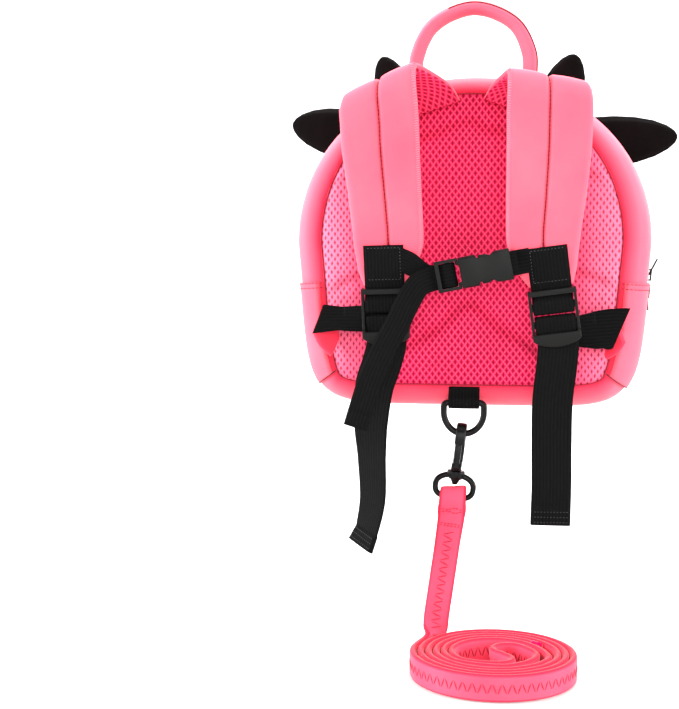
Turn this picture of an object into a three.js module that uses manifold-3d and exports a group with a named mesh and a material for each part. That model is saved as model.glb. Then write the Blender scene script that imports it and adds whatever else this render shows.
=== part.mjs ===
// Toddler harness backpack, closed, hanging from its grab handle.
// Millimetres, +Z up. The back panel faces -Y and X runs to its right.
// The origin is where the grab handle hangs, under the middle of its top.
import * as THREE from 'three';
import { mergeVertices } from 'three/addons/utils/BufferGeometryUtils.js';
import Module from 'manifold-3d';

const wasm = await Module();
wasm.setup();

// Fits
const seatGap = 0.3;
const layerGap = 0.5;

// Bag body
const bodyWidth = 226;
const bodyHeight = 209;
const bodyDrop = 39.6;
const handleSetback = 28;
const gussetDepth = 66;
const gussetWall = 3;
const seamInsetSide = 19.4;
const seamInsetTop = 12.4;
const seamInsetBottom = 15.6;
const panelEdge = 5;
const panelBulge = 7;
const zipWidth = 9;
const zipInset = 2.4;
const zipThickness = 1.4;
const zipCoilWidth = 3.6;
const zipCoilHeight = 1.3;
const frontDepth = 18;
const frontRounding = 19;
const frontDome = 6;
const frontWall = 3;
const pocketWall = 2;
const pocketDrop = 130;
const pocketLength = 66;

// Grab handle
const handleThickness = 8.6;
const handleWidth = 18;
const handleRadius = 35.5;

// Harness
const strapWidth = 50;
const strapThickness = 3.4;
const strapMeshThickness = 3;
const strapStandOff = 28.5;
const webbingWidth = 24.6;
const webbingThickness = 1.4;
const patchLength = 25;
const lockWidth = 29;
const lockHeight = 35;
const lockRail = 1.7;
const tailLengthLeft = 126;
const tailLengthRight = 110;
const tabThickness = 3;
const tabBase = 48;
const chestWidth = 15;
const chestThickness = 1.2;
const buckleWidth = 19;
const buckleThickness = 7;
const femaleLength = 31;
const maleLength = 14;
const buckleTilt = 11;
const chestTailLength = 92;

// Ring, hook and tether
const ringTabWidth = 19.4;
const ringTabLength = 11;
const ringWidth = 29.2;
const ringHeight = 23.6;
const ringWire = 4.1;
const hookTilt = 7;
const hookLength = 30;
const hookDepth = 16.6;
const hookWidth = 6.2;
const hookWall = 4;
const eyeWidth = 27.6;
const eyeHeight = 18.4;
const eyeWire = 3.7;
const leashWidth = 16;
const leashThickness = 4.1;
const leashDrop = 86;
const coilRadius = 52;
const coilPitch = 4.7;

// Horns
const hornLength = 44;
const hornWidth = 33;
const hornThickness = 11;

// Places that follow from the sizes
const backSeam = -handleSetback;
const zipSeam = backSeam + gussetDepth;
const halfWidth = bodyWidth / 2;
const bodyMiddle = -(bodyDrop + bodyHeight / 2);

// Small helpers
const rad = THREE.MathUtils.degToRad;
const vec = (x, y, z) => new THREE.Vector3(x, y, z);
const lerp = THREE.MathUtils.lerp;

// A closed skin through rings of points. A looped skin joins its last ring to its
// first. An open one is capped: across as a ladder of quads, or as a fan about its middle.
function skin(rings, { loop = false, cap = 'ladder' } = {}) {
  const size = rings[0].length;
  const points = rings.flat();
  const faces = [];
  const spans = loop ? rings.length : rings.length - 1;
  for (let i = 0; i < spans; i++) {
    const here = i * size;
    const next = ((i + 1) % rings.length) * size;
    for (let j = 0; j < size; j++) {
      const k = (j + 1) % size;
      faces.push(here + j, here + k, next + k, here + j, next + k, next + j);
    }
  }
  if (!loop) {
    capRing(points, faces, 0, size, cap, false);
    capRing(points, faces, (rings.length - 1) * size, size, cap, true);
  }
  const geometry = new THREE.BufferGeometry();
  geometry.setAttribute('position', new THREE.Float32BufferAttribute(points.flatMap((p) => p.toArray()), 3));
  geometry.setIndex(faces);
  return facingOut(geometry);
}

function capRing(points, faces, start, size, cap, last) {
  const add = (a, b, c) => (last ? faces.push(a, b, c) : faces.push(a, c, b));
  if (cap === 'fan') {
    const middle = vec(0, 0, 0);
    for (let j = 0; j < size; j++) middle.add(points[start + j]);
    points.push(middle.divideScalar(size));
    for (let j = 0; j < size; j++) add(start + j, start + ((j + 1) % size), points.length - 1);
    return;
  }
  for (let j = 0; j < size / 2 - 1; j++) {
    const a = start + j;
    const b = start + j + 1;
    const c = start + size - 2 - j;
    const d = start + size - 1 - j;
    add(a, b, c);
    add(a, c, d);
  }
}

// Turns every face over when the body is inside out
function facingOut(geometry) {
  const p = geometry.attributes.position;
  const index = geometry.index.array;
  const a = vec(0, 0, 0);
  const b = vec(0, 0, 0);
  const c = vec(0, 0, 0);
  let volume = 0;
  for (let i = 0; i < index.length; i += 3) {
    a.fromBufferAttribute(p, index[i]);
    b.fromBufferAttribute(p, index[i + 1]);
    c.fromBufferAttribute(p, index[i + 2]);
    volume += a.dot(b.cross(c));
  }
  if (volume < 0) {
    for (let i = 0; i < index.length; i += 3) {
      [index[i + 1], index[i + 2]] = [index[i + 2], index[i + 1]];
    }
  }
  geometry.computeVertexNormals();
  return geometry;
}

function solidOf(geometry) {
  const bare = geometry.clone();
  for (const name of Object.keys(bare.attributes)) {
    if (name !== 'position') bare.deleteAttribute(name);
  }
  const merged = mergeVertices(bare, 1e-4);
  return new wasm.Manifold(new wasm.Mesh({
    numProp: 3,
    vertProperties: new Float32Array(merged.attributes.position.array),
    triVerts: new Uint32Array(merged.index.array),
  }));
}

function geometryOf(solid) {
  const mesh = solid.getMesh();
  const geometry = new THREE.BufferGeometry();
  const positions = new Float32Array(mesh.numVert * 3);
  for (let i = 0; i < mesh.numVert; i++) {
    for (let k = 0; k < 3; k++) positions[i * 3 + k] = mesh.vertProperties[i * mesh.numProp + k];
  }
  geometry.setAttribute('position', new THREE.BufferAttribute(positions, 3));
  geometry.setIndex([...mesh.triVerts]);
  geometry.computeVertexNormals();
  return geometry;
}

// The largest piece of a solid without its shortest edges, so that a trim leaves no crumb
// or sliver behind
const trimTolerance = 0.05;

function mainPiece(solid) {
  const pieces = solid.decompose();
  const main = pieces.reduce((best, piece) => (piece.volume() > best.volume() ? piece : best));
  return main.simplify(trimTolerance);
}

function cut(geometry, ...tools) {
  return geometryOf(mainPiece(tools.reduce((solid, tool) => solid.subtract(solidOf(tool)), solidOf(geometry))));
}

function join(...geometries) {
  return geometryOf(geometries.map(solidOf).reduce((sum, solid) => sum.add(solid)));
}

function box(width, depth, height, x = 0, y = 0, z = 0) {
  return new THREE.BoxGeometry(width, depth, height).translate(x, y, z);
}

// An outline in a plane, extruded evenly to both sides of it along its own Z
function plate(shape, thickness, bevel = 0) {
  return new THREE.ExtrudeGeometry(shape, {
    depth: thickness - 2 * bevel,
    bevelEnabled: bevel > 0,
    bevelThickness: bevel,
    bevelSize: bevel,
    bevelOffset: -bevel,
    bevelSegments: 1,
    curveSegments: 5,
    steps: 1,
  }).translate(0, 0, bevel - thickness / 2);
}

// Sections across a strip, as pairs of [across, out] for a width and a thickness
function flatSection(width, thickness) {
  const w = width / 2;
  const t = thickness / 2;
  return [[-w, t], [w, t], [w, -t], [-w, -t]];
}

function softSection(width, thickness) {
  const w = width / 2;
  const t = thickness / 2;
  return [[-w, 0.45 * t], [-0.86 * w, t], [0.86 * w, t], [w, 0.45 * t],
    [w, -0.45 * t], [0.86 * w, -t], [-0.86 * w, -t], [-w, -0.45 * t]];
}

function padSection(width, thickness) {
  const w = width / 2;
  const t = thickness / 2;
  return [[-w, 0], [-0.9 * w, t], [0.9 * w, t], [w, 0], [0.9 * w, -t], [-0.9 * w, -t]];
}

function ovalSection(width, thickness, sides = 10) {
  return Array.from({ length: sides }, (_, i) => {
    const turn = (2 * Math.PI * (i + 0.5)) / sides;
    return [-Math.cos(turn) * width / 2, Math.sin(turn) * thickness / 2];
  });
}

// A strip through stations of {at, across}; out is where its outer face looks. A folded
// station keeps its own slant, as a strap does along a fold
function strip(stations, section, cap = 'ladder') {
  const rings = stations.map((station, i) => {
    const before = stations[Math.max(0, i - 1)].at;
    const after = stations[Math.min(stations.length - 1, i + 1)].at;
    const along = station.along ?? after.clone().sub(before).normalize();
    const slant = station.folded ? 0 : station.across.dot(along);
    const across = station.across.clone().addScaledVector(along, -slant).normalize();
    const out = along.clone().cross(across).normalize();
    return section(station, i).map(([a, o]) => station.at.clone().addScaledVector(across, a).addScaledVector(out, o));
  });
  return skin(rings, { cap });
}

// Stations on a smooth run through rows of {at, across, ...shares}
function smoothRun(rows, count, shares = []) {
  const curve = new THREE.CatmullRomCurve3(rows.map((row) => row.at), false, 'centripetal');
  curve.arcLengthDivisions = 400;
  return Array.from({ length: count }, (_, i) => {
    const u = i / (count - 1);
    const t = curve.getUtoTmapping(u);
    const place = t * (rows.length - 1);
    const low = Math.min(rows.length - 2, Math.floor(place));
    const share = place - low;
    const station = {
      at: curve.getPoint(t),
      along: curve.getTangent(t).normalize(),
      across: rows[low].across.clone().lerp(rows[low + 1].across, share).normalize(),
      folded: rows[low].folded,
    };
    for (const name of shares) station[name] = lerp(rows[low][name], rows[low + 1][name], share);
    return station;
  });
}

// The same run moved out of or into its own face
function shifted(stations, distance) {
  return stations.map((station) => {
    const out = station.along.clone().cross(station.across).normalize();
    return { ...station, at: station.at.clone().addScaledVector(out, distance) };
  });
}

// Body outline
// A round upper half and a squarer, slightly tapered lower half, seen from the back
const upperExponent = 2.08;
const lowerExponent = 7;
const lowerTaper = 0.08;
const upperShare = 0.5;
const stationCount = 36;

function outlinePoints() {
  const upper = bodyHeight * upperShare;
  const lower = bodyHeight - upper;
  const middle = -(bodyDrop + upper);
  const fine = 240;
  const points = [];
  for (let i = 0; i < fine; i++) {
    const turn = (2 * Math.PI * i) / fine;
    const c = Math.cos(turn);
    const s = Math.sin(turn);
    const exponent = c >= 0 ? upperExponent : lowerExponent;
    const reach = (Math.abs(s) ** exponent + Math.abs(c) ** exponent) ** (-1 / exponent);
    const down = Math.max(0, -c) * reach;
    const x = halfWidth * s * reach * (1 - lowerTaper * down);
    points.push(new THREE.Vector2(x, middle + (c >= 0 ? upper : lower) * c * reach));
  }
  return points;
}

// Stations spaced evenly round the outline from the middle of the top, clockwise
function outlineStations(count) {
  const points = outlinePoints();
  const total = points.length;
  const lengths = [0];
  for (let i = 0; i < total; i++) {
    lengths.push(lengths[i] + points[i].distanceTo(points[(i + 1) % total]));
  }
  return Array.from({ length: count }, (_, k) => {
    const goal = (lengths[total] * k) / count;
    let i = 0;
    while (lengths[i + 1] <= goal) i++;
    const share = (goal - lengths[i]) / (lengths[i + 1] - lengths[i]);
    const at = points[i].clone().lerp(points[(i + 1) % total], share);
    const span = points[(i + 1) % total].clone().sub(points[(i + total - 1) % total]).normalize();
    return { x: at.x, z: at.y, nx: -span.y, nz: span.x };
  }).map((s) => (s.nx * s.x + s.nz * (s.z - bodyMiddle) < 0 ? { ...s, nx: -s.nx, nz: -s.nz } : s));
}

const outline = outlineStations(stationCount);

// How far the back seam lies inside the outline at a station
function seamInset(station) {
  const ends = station.nz > 0 ? seamInsetTop : seamInsetBottom;
  return seamInsetSide * station.nx ** 2 + ends * station.nz ** 2;
}

function atStation(station, inset, y) {
  return vec(station.x - station.nx * inset, y, station.z - station.nz * inset);
}

// Outer face of the gusset from the back seam to the zip: inset as a share of the
// seam's inset, and depth as a share of the gusset's depth
const gussetRows = [
  { inset: 1.0, depth: 0.0 },
  { inset: 0.7, depth: 0.0 },
  { inset: 0.38, depth: 0.06 },
  { inset: 0.14, depth: 0.19 },
  { inset: 0.0, depth: 0.42 },
  { inset: 0.0, depth: 0.68 },
];

function gussetFace(station) {
  const deep = seamInset(station);
  const face = gussetRows.map((row) => [row.inset * deep, backSeam + row.depth * gussetDepth]);
  face.push([zipInset, zipSeam]);
  return face;
}

// A face in [inset, y] moved inwards by a wall, or outwards when the wall is negative
function offsetFace(face, wall) {
  return face.map(([inset, y], i) => {
    const before = face[Math.max(0, i - 1)];
    const after = face[Math.min(face.length - 1, i + 1)];
    const di = after[0] - before[0];
    const dy = after[1] - before[1];
    const length = Math.hypot(di, dy);
    return [inset + (wall * dy) / length, y - (wall * di) / length];
  });
}

function shellRing(station, face, wall) {
  const inner = offsetFace(face, wall).filter((_, i) => i % 2 === 0);
  return [...face, ...inner.reverse()].map(([inset, y]) => atStation(station, inset, y));
}

const gussetGeometry = skin(outline.map((s) => shellRing(s, gussetFace(s), gussetWall)), { loop: true });

// The space inside the gusset's outer face, grown by a gap, to trim what is sewn to it
function gussetSpace(gap) {
  const faces = outline.map((s) => offsetFace(gussetFace(s), -gap));
  const rings = faces[0].map((_, k) => outline.map((s, i) => atStation(s, ...faces[i][k])));
  return skin(rings, { cap: 'fan' });
}

// Rings that shrink towards the middle of a loop of points, at a height for each share
function shrinkRing(ring, share, y) {
  const middle = vec(0, 0, bodyMiddle);
  return ring.map((p) => vec(lerp(middle.x, p.x, share), y, lerp(middle.z, p.z, share)));
}

// Padded mesh panel between the back seams: share of its outline, and how far it
// stands out as a share of the panel's bulge
const panelRows = [
  { share: 0.93, out: 0.34 },
  { share: 0.8, out: 0.66 },
  { share: 0.56, out: 0.92 },
  { share: 0.25, out: 1.0 },
];

function panelGeometry(grow = 0) {
  const rim = outline.map((s) => atStation(s, seamInset(s) + seatGap - grow, backSeam));
  const inner = backSeam + panelEdge;
  return skin([
    shrinkRing(rim, 0.3, inner),
    shrinkRing(rim, 0.96, inner),
    shrinkRing(rim, 1, inner - 0.3 * panelEdge),
    shrinkRing(rim, 1, backSeam - grow),
    ...panelRows.map((row) => shrinkRing(rim, row.share, backSeam - row.out * panelBulge - grow)),
  ], { cap: 'fan' });
}

// Zip: a flat tape with a raised coil down its middle
function zipRing(station) {
  const back = zipSeam + seatGap;
  const front = back + zipWidth;
  const middle = (back + front) / 2;
  const coil = zipCoilWidth / 2;
  const low = zipInset;
  const high = zipInset - zipCoilHeight;
  const under = zipInset + zipThickness;
  return [[low, back], [low, middle - coil], [high, middle - 0.6 * coil], [high, middle + 0.6 * coil],
    [low, middle + coil], [low, front], [under, front], [under, back]]
    .map(([inset, y]) => atStation(station, inset, y));
}

const zipGeometry = skin(outline.map(zipRing), { loop: true });
const frontRim = zipSeam + zipWidth + 2 * seatGap;

// Front: a cap whose side turns over into a domed face. Its side rows give inset as a
// share of the rounding and depth as a share of the front's depth
const frontRows = [
  { inset: 0.0, depth: 0.0 },
  { inset: 0.04, depth: 0.3 },
  { inset: 0.2, depth: 0.62 },
  { inset: 0.52, depth: 0.88 },
  { inset: 1.0, depth: 1.0 },
];
const domeRows = [
  { share: 0.82, rise: 0.45 },
  { share: 0.5, rise: 0.85 },
  { share: 0.2, rise: 1.0 },
];

function frontFace() {
  return frontRows.map((row) => [zipInset + row.inset * frontRounding, frontRim + row.depth * frontDepth]);
}

function frontRings(face, y) {
  const rings = face.map(([inset, at]) => outline.map((s) => atStation(s, inset, at)));
  const edge = rings[rings.length - 1];
  for (const row of domeRows) rings.push(shrinkRing(edge, row.share, y + row.rise * frontDome));
  return rings;
}

const frontTop = frontRim + frontDepth;
const frontOuter = frontRings(frontFace(), frontTop);
const frontLining = offsetFace(frontFace(), frontWall).filter((_, i) => i % 2 === 0);
const frontInner = frontRings(frontLining, frontTop - frontWall);
const frontGeometry = skin([...frontInner.reverse(), ...frontOuter], { cap: 'fan' });

function frontSpace(gap) {
  return skin(frontRings(offsetFace(frontFace(), -gap), frontTop + gap), { cap: 'fan' });
}

// Side pockets lie on the gusset from their open hem to the lower corner
function pocketGeometry(side) {
  const top = -(bodyDrop + pocketDrop);
  const bottom = top - pocketLength;
  const fine = outlineStations(stationCount * 2);
  const ring = fine.filter((s) => Math.sign(s.x) === side && s.nx * side > 0.25 && s.z <= top && s.z >= bottom);
  const first = 1;
  return skin(ring.map((s) => {
    const face = gussetFace(s).slice(first);
    const near = offsetFace(face, -seatGap);
    const far = offsetFace(face, -(seatGap + pocketWall));
    return [...far, ...near.reverse()].map(([inset, y]) => atStation(s, inset, y));
  }));
}

// Grab handle: legs from the back seam, then an arch. Columns: turn round the arch in
// degrees from its left foot, drop below the arch as a share of its radius, y as a share
// of the setback, and twist in degrees
const handleRows = [
  { turn: 0, drop: 0.75, y: -0.5, twist: 4 },
  { turn: 0, drop: 0.3, y: -0.42, twist: 4 },
  { turn: 8, drop: 0.0, y: -0.3, twist: 3 },
  { turn: 45, drop: 0.0, y: -0.1, twist: 0 },
  { turn: 90, drop: 0.0, y: 0.0, twist: 0 },
  { turn: 135, drop: 0.0, y: -0.1, twist: -3 },
  { turn: 172, drop: 0.0, y: -0.3, twist: -12 },
  { turn: 180, drop: 0.3, y: -0.42, twist: -14 },
  { turn: 180, drop: 0.75, y: -0.5, twist: -14 },
];

function handleGeometry() {
  const top = handleThickness / 2;
  const rows = handleRows.map((row) => {
    const turn = rad(row.turn);
    const at = vec(-Math.cos(turn) * handleRadius, row.y * handleSetback,
      top - handleRadius * (1 - Math.sin(turn)) - row.drop * handleRadius);
    const across = vec(Math.sin(rad(row.twist)), Math.cos(rad(row.twist)), 0);
    return { at, across };
  });
  const stations = smoothRun(rows, 25);
  return strip(stations, () => ovalSection(handleWidth, handleThickness, 8));
}

// Shoulder straps
// Each row is a place on the strap's middle line: x as a share of the body's half width,
// z as a share of the body's height below its top, y as a share of the stand-off in front
// of the back seam, lean of the strap's width in degrees, and width as a share
const strapRows = {
  left: [
    { x: -0.26, z: 0.115, y: 0.12, lean: 17, width: 0.96 },
    { x: -0.31, z: 0.078, y: 0.2, lean: 19, width: 0.98 },
    { x: -0.41, z: 0.046, y: 0.42, lean: 22, width: 0.98 },
    { x: -0.475, z: 0.038, y: 0.7, lean: 24, width: 0.98 },
    { x: -0.485, z: 0.075, y: 0.9, lean: 19, width: 0.98 },
    { x: -0.475, z: 0.14, y: 1.0, lean: 8, width: 0.96 },
    { x: -0.465, z: 0.23, y: 1.04, lean: 1, width: 0.95 },
    { x: -0.444, z: 0.36, y: 0.99, lean: -2, width: 0.9 },
    { x: -0.427, z: 0.5, y: 0.86, lean: 0, width: 0.86 },
    { x: -0.436, z: 0.575, y: 0.78, lean: 2, width: 0.72 },
    { x: -0.447, z: 0.62, y: 0.72, lean: 2, width: 0.54 },
  ],
  right: [
    { x: 0.27, z: 0.113, y: 0.12, lean: -19, width: 0.96 },
    { x: 0.32, z: 0.073, y: 0.2, lean: -15, width: 0.99 },
    { x: 0.375, z: 0.044, y: 0.42, lean: -11, width: 1.0 },
    { x: 0.415, z: 0.038, y: 0.7, lean: -11, width: 1.01 },
    { x: 0.426, z: 0.072, y: 0.9, lean: -9, width: 1.02 },
    { x: 0.427, z: 0.14, y: 1.0, lean: -3, width: 1.02 },
    { x: 0.424, z: 0.24, y: 1.04, lean: 0, width: 1.0 },
    { x: 0.412, z: 0.37, y: 0.99, lean: 1, width: 0.95 },
    { x: 0.4, z: 0.5, y: 0.86, lean: 3, width: 0.87 },
    { x: 0.42, z: 0.575, y: 0.78, lean: 5, width: 0.72 },
    { x: 0.443, z: 0.62, y: 0.72, lean: 6, width: 0.53 },
  ],
};

function strapStations(side) {
  const rows = strapRows[side].map((row) => ({
    at: vec(row.x * halfWidth, backSeam - row.y * strapStandOff, -(bodyDrop + row.z * bodyHeight)),
    across: vec(Math.cos(rad(row.lean)), 0, Math.sin(rad(row.lean))),
    width: row.width,
    folded: true,
  }));
  return smoothRun(rows, 22, ['width']);
}

// The strap's outer layer has a seam down its middle, as a shallow groove
function strapSection(width, thickness) {
  const w = width / 2;
  const t = thickness / 2;
  return [[-w, 0.2 * t], [-0.8 * w, t], [-0.12 * w, t], [0, 0.3 * t], [0.12 * w, t], [0.8 * w, t],
    [w, 0.2 * t], [w, -t], [0, -t], [-w, -t]];
}

function strapLayers(side) {
  const stations = strapStations(side);
  const body = [gussetSpace(seatGap), panelGeometry(seatGap)];
  const outer = strip(shifted(stations, (strapThickness + layerGap) / 2),
    (s) => strapSection(s.width * strapWidth, strapThickness), 'fan');
  const inner = strip(shifted(stations, -(strapMeshThickness + layerGap) / 2),
    (s) => padSection(s.width * strapWidth - 1.6, strapMeshThickness));
  return { outer: cut(outer, ...body), inner: cut(inner, ...body) };
}

// Ladder lock, in its own frame: X along the bars, Y up the strap, Z out of the strap
const lockStandOff = 2.6;
const lockDrop = 19;
const barHeight = 4.4;
const barThickness = 1.6;
const upperBar = 7.4;
const lowerBar = -3.6;
const rimHeight = 3.2;
const railDepth = 4.6;
const lipHeight = 7.6;
const lipThickness = 2.2;
const webbingRun = barThickness / 2 + seatGap + webbingThickness / 2;
const lipBack = webbingRun + webbingThickness / 2 + seatGap;
// How far each lock leans sideways as it hangs, in degrees
const lockLean = { left: 1.5, right: 7.5 };

function lockFrame(side) {
  const stations = strapStations(side);
  const end = stations[stations.length - 1];
  const out = end.across.clone().cross(end.along.clone().negate()).normalize();
  const level = vec(Math.cos(rad(lockLean[side])), 0, Math.sin(rad(lockLean[side])));
  const right = level.addScaledVector(out, -level.dot(out)).normalize();
  const up = out.clone().cross(right);
  const face = layerGap / 2 + strapThickness;
  const middle = end.at.clone().addScaledVector(out, face + lockStandOff).addScaledVector(up, -lockDrop);
  return new THREE.Matrix4().makeBasis(right, up, out).setPosition(middle);
}

function lockGeometry() {
  const half = lockHeight / 2;
  const inside = lockWidth - lockRail;
  const railPlace = inside / 2;
  const rail = (x) => box(lockRail, lockHeight - lipHeight, railDepth, x, lipHeight / 2, 0);
  const rim = box(inside, rimHeight, railDepth / 2, 0, half - rimHeight / 2, railDepth / 4);
  const bar = (y) => box(inside, barHeight, barThickness, 0, y, 0);
  const foot = lockWidth / 2;
  const low = -half;
  const shoulder = low + lipHeight + 1;
  const lip = new THREE.Shape();
  lip.moveTo(-foot, shoulder);
  lip.lineTo(-foot, low + 0.6 * lipHeight);
  lip.quadraticCurveTo(-0.6 * foot, low, 0, low);
  lip.quadraticCurveTo(0.6 * foot, low, foot, low + 0.6 * lipHeight);
  lip.lineTo(foot, shoulder);
  lip.closePath();
  const lipPlate = plate(lip, lipThickness, 0.5).translate(0, 0, lipBack + lipThickness / 2);
  const postDepth = lipBack + lipThickness / 2;
  const post = (x) => box(lockRail, 3, postDepth, x, shoulder - 0.5, postDepth / 2);
  return join(rail(-railPlace), rail(railPlace), rim, bar(upperBar), bar(lowerBar), lipPlate,
    post(-railPlace), post(railPlace));
}

// Webbing round the end of a bar, from its front to its back: places [Y, Z] at an edge,
// on the side where the webbing turns
function roundBar(edge, side) {
  return [[edge - side * 0.2, webbingRun], [edge + side * 1.5, 0.83 * webbingRun], [edge + side * 2.2, 0],
    [edge + side * 1.5, -0.83 * webbingRun], [edge - side * 0.2, -webbingRun]];
}

// Patch: webbing stitched to the strap's face, over the lock's upper bar and back behind it
function patchGeometry(side) {
  const frame = lockFrame(side);
  const back = frame.clone().invert();
  const lift = layerGap / 2 + strapThickness + seatGap + webbingThickness / 2;
  const onStrap = shifted(strapStations(side), lift).map((s) => s.at.clone().applyMatrix4(back));
  const top = lockDrop + patchLength;
  const run = onStrap.filter((p) => p.y > lockDrop && p.y < top).map((p) => [p.y, p.z]);
  const half = barHeight / 2;
  const rows = [
    ...run,
    [lockDrop - 1.6, -lockStandOff + webbingThickness / 2 + seatGap],
    [lockDrop - 4, -lockStandOff + webbingThickness / 2 + 1.3 * seatGap],
    [upperBar + half + 2.6, 0.3],
    [upperBar + half + 0.4, webbingRun - 0.1],
    [upperBar, webbingRun],
    ...roundBar(upperBar - half, -1),
    [upperBar + 0.6 * half, -webbingRun],
    [upperBar + half + 3.4, -webbingRun - 1.6],
  ].map(([y, z]) => ({ at: vec(0, y, z), across: vec(1, 0, 0) }));
  return strip(smoothRun(rows, 30), () => flatSection(webbingWidth, webbingThickness)).applyMatrix4(frame);
}

// Side tabs and adjusting webbing
// The tab grows from the back seam to an edge that holds the webbing. Columns: places of
// the seam and of the edge as shares of the half width and of the body's height, the lean
// of the edge in degrees, and where the webbing passes behind the lock, from its middle
const anchorRows = {
  left: { seamX: -0.73, seamZ: 0.775, edgeX: -0.822, edgeZ: 0.727, lean: -20, lockY: -3 },
  right: { seamX: 0.755, seamZ: 0.765, edgeX: 0.812, edgeZ: 0.747, lean: 18, lockY: -11 },
};
const seamLean = 15;
const edgeStandOff = 10;
// Width of the webbing from the tab to the lock, as shares: the left one is gathered
const bandPinch = { left: [0.74, 0.62, 0.7], right: [0.94, 0.88, 0.72] };

function tabParts(side) {
  const row = anchorRows[side];
  const sign = side === 'left' ? -1 : 1;
  const level = (share) => -(bodyDrop + share * bodyHeight);
  const seam = vec(row.seamX * halfWidth, backSeam, level(row.seamZ));
  const edge = vec(row.edgeX * halfWidth, backSeam - edgeStandOff, level(row.edgeZ));
  const seamAcross = vec(sign * Math.sin(rad(seamLean)), 0, Math.cos(rad(seamLean)));
  const edgeAcross = vec(-Math.sin(rad(row.lean)), 0, Math.cos(rad(row.lean)));
  return { sign, seam, edge, seamAcross, edgeAcross };
}

function tabGeometry(side) {
  const { seam, edge, seamAcross, edgeAcross } = tabParts(side);
  const rows = [
    { at: seam, across: seamAcross, width: tabBase },
    { at: seam.clone().lerp(edge, 0.5), across: seamAcross.clone().lerp(edgeAcross, 0.4).normalize(),
      width: lerp(tabBase, webbingWidth, 0.55) },
    { at: edge, across: edgeAcross, width: webbingWidth },
  ];
  const tab = strip(smoothRun(rows, 6, ['width']), (s) => softSection(s.width, tabThickness));
  return cut(tab, gussetSpace(seatGap), panelGeometry(seatGap));
}

// The tail's rows: drop as a share of its length, sideways and backwards as shares of the
// webbing's width, turn about its own length in degrees, and thickness as a share
const tailRows = {
  left: [
    { drop: 0.08, side: -0.12, back: 0.0, turn: 0, thick: 1 },
    { drop: 0.2, side: -0.32, back: 0.06, turn: -8, thick: 1 },
    { drop: 0.39, side: -0.42, back: 0.14, turn: -26, thick: 1 },
    { drop: 0.55, side: -0.4, back: 0.16, turn: -38, thick: 1 },
    { drop: 0.77, side: -0.38, back: 0.18, turn: -44, thick: 1 },
    { drop: 0.92, side: -0.52, back: 0.16, turn: -50, thick: 1 },
    { drop: 0.93, side: -0.53, back: 0.16, turn: -50, thick: 2.4 },
    { drop: 1.0, side: -0.68, back: 0.14, turn: -42, thick: 2.4 },
  ],
  right: [
    { drop: 0.08, side: -0.03, back: 0.0, turn: 0, thick: 1 },
    { drop: 0.3, side: -0.13, back: 0.06, turn: 4, thick: 1 },
    { drop: 0.55, side: -0.14, back: 0.14, turn: 8, thick: 1 },
    { drop: 0.78, side: -0.13, back: 0.18, turn: 10, thick: 1 },
    { drop: 0.895, side: -0.14, back: 0.2, turn: 8, thick: 1 },
    { drop: 0.905, side: -0.14, back: 0.2, turn: 8, thick: 2.4 },
    { drop: 1.0, side: -0.15, back: 0.22, turn: 6, thick: 2.4 },
  ],
};

function lowerWebbingGeometry(side) {
  const tailLength = side === 'left' ? tailLengthLeft : tailLengthRight;
  const frame = lockFrame(side);
  const { sign, edge, edgeAcross } = tabParts(side);
  const row = anchorRows[side];
  const place = (x, y, z) => vec(x, y, z).applyMatrix4(frame);
  const right = vec(1, 0, 0).transformDirection(frame);
  const up = vec(0, 1, 0).transformDirection(frame);
  const half = barHeight / 2;
  const behind = -lockStandOff - 3.8;
  const section = (s) => flatSection(webbingWidth * s.width, webbingThickness * s.thick);

  const start = edge.clone().add(vec(-sign * 1.5, -(tabThickness + webbingThickness) / 2 - 2 * seatGap, 0));
  const end = place(-sign * 0.44 * webbingWidth, row.lockY, behind);
  const across = [
    { at: start, across: edgeAcross, width: bandPinch[side][0], thick: 1 },
    { at: start.clone().lerp(end, 0.3), across: edgeAcross, width: bandPinch[side][1], thick: 1 },
    { at: start.clone().lerp(end, 0.62), across: up, width: bandPinch[side][2], thick: 1.3 },
    { at: end, across: up, width: 0.92, thick: 1 },
  ];
  const band = strip(smoothRun(across, 12, ['width', 'thick']), section);

  const fold = row.lockY - webbingWidth / 2;
  const through = [
    [fold, behind + webbingThickness * 0.85],
    [fold + 6, behind + webbingThickness * 0.85],
    [lowerBar - half - 0.5, -webbingRun - 1.1],
    ...roundBar(lowerBar + half, 1).reverse(),
    [lowerBar, webbingRun],
    [lowerBar - half, webbingRun],
    [-lockHeight / 2 + 6, webbingRun],
    [-lockHeight / 2 + 1, webbingRun - 0.1],
  ].map(([y, z]) => ({ at: place(0, y, z), across: right, width: 1, thick: 1 }));
  const foot = place(0, -lockHeight / 2 - 1, webbingRun - 0.1);
  const tail = tailRows[side].map((r) => ({
    at: foot.clone().add(vec(r.side * webbingWidth, r.back * webbingWidth, -r.drop * tailLength)),
    across: right.clone().applyAxisAngle(vec(0, 0, 1), rad(r.turn)),
    width: 1,
    thick: r.thick,
  }));
  const run = strip(smoothRun([...through, ...tail], 48, ['width', 'thick']), section);
  return join(band, run);
}

// Chest strap and its side-release buckle
// The buckle's frame: X along the strap to the right, Y up, Z towards the back
const buckleX = -4;
const buckleShare = 0.587;
const chestStandOff = 30;
const chestLockY = { left: 35, right: 36 };

function buckleFrame() {
  return new THREE.Matrix4()
    .makeTranslation(buckleX, backSeam - chestStandOff, -(bodyDrop + buckleShare * bodyHeight))
    .multiply(new THREE.Matrix4().makeRotationX(Math.PI / 2))
    .multiply(new THREE.Matrix4().makeRotationZ(rad(buckleTilt)));
}

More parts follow.
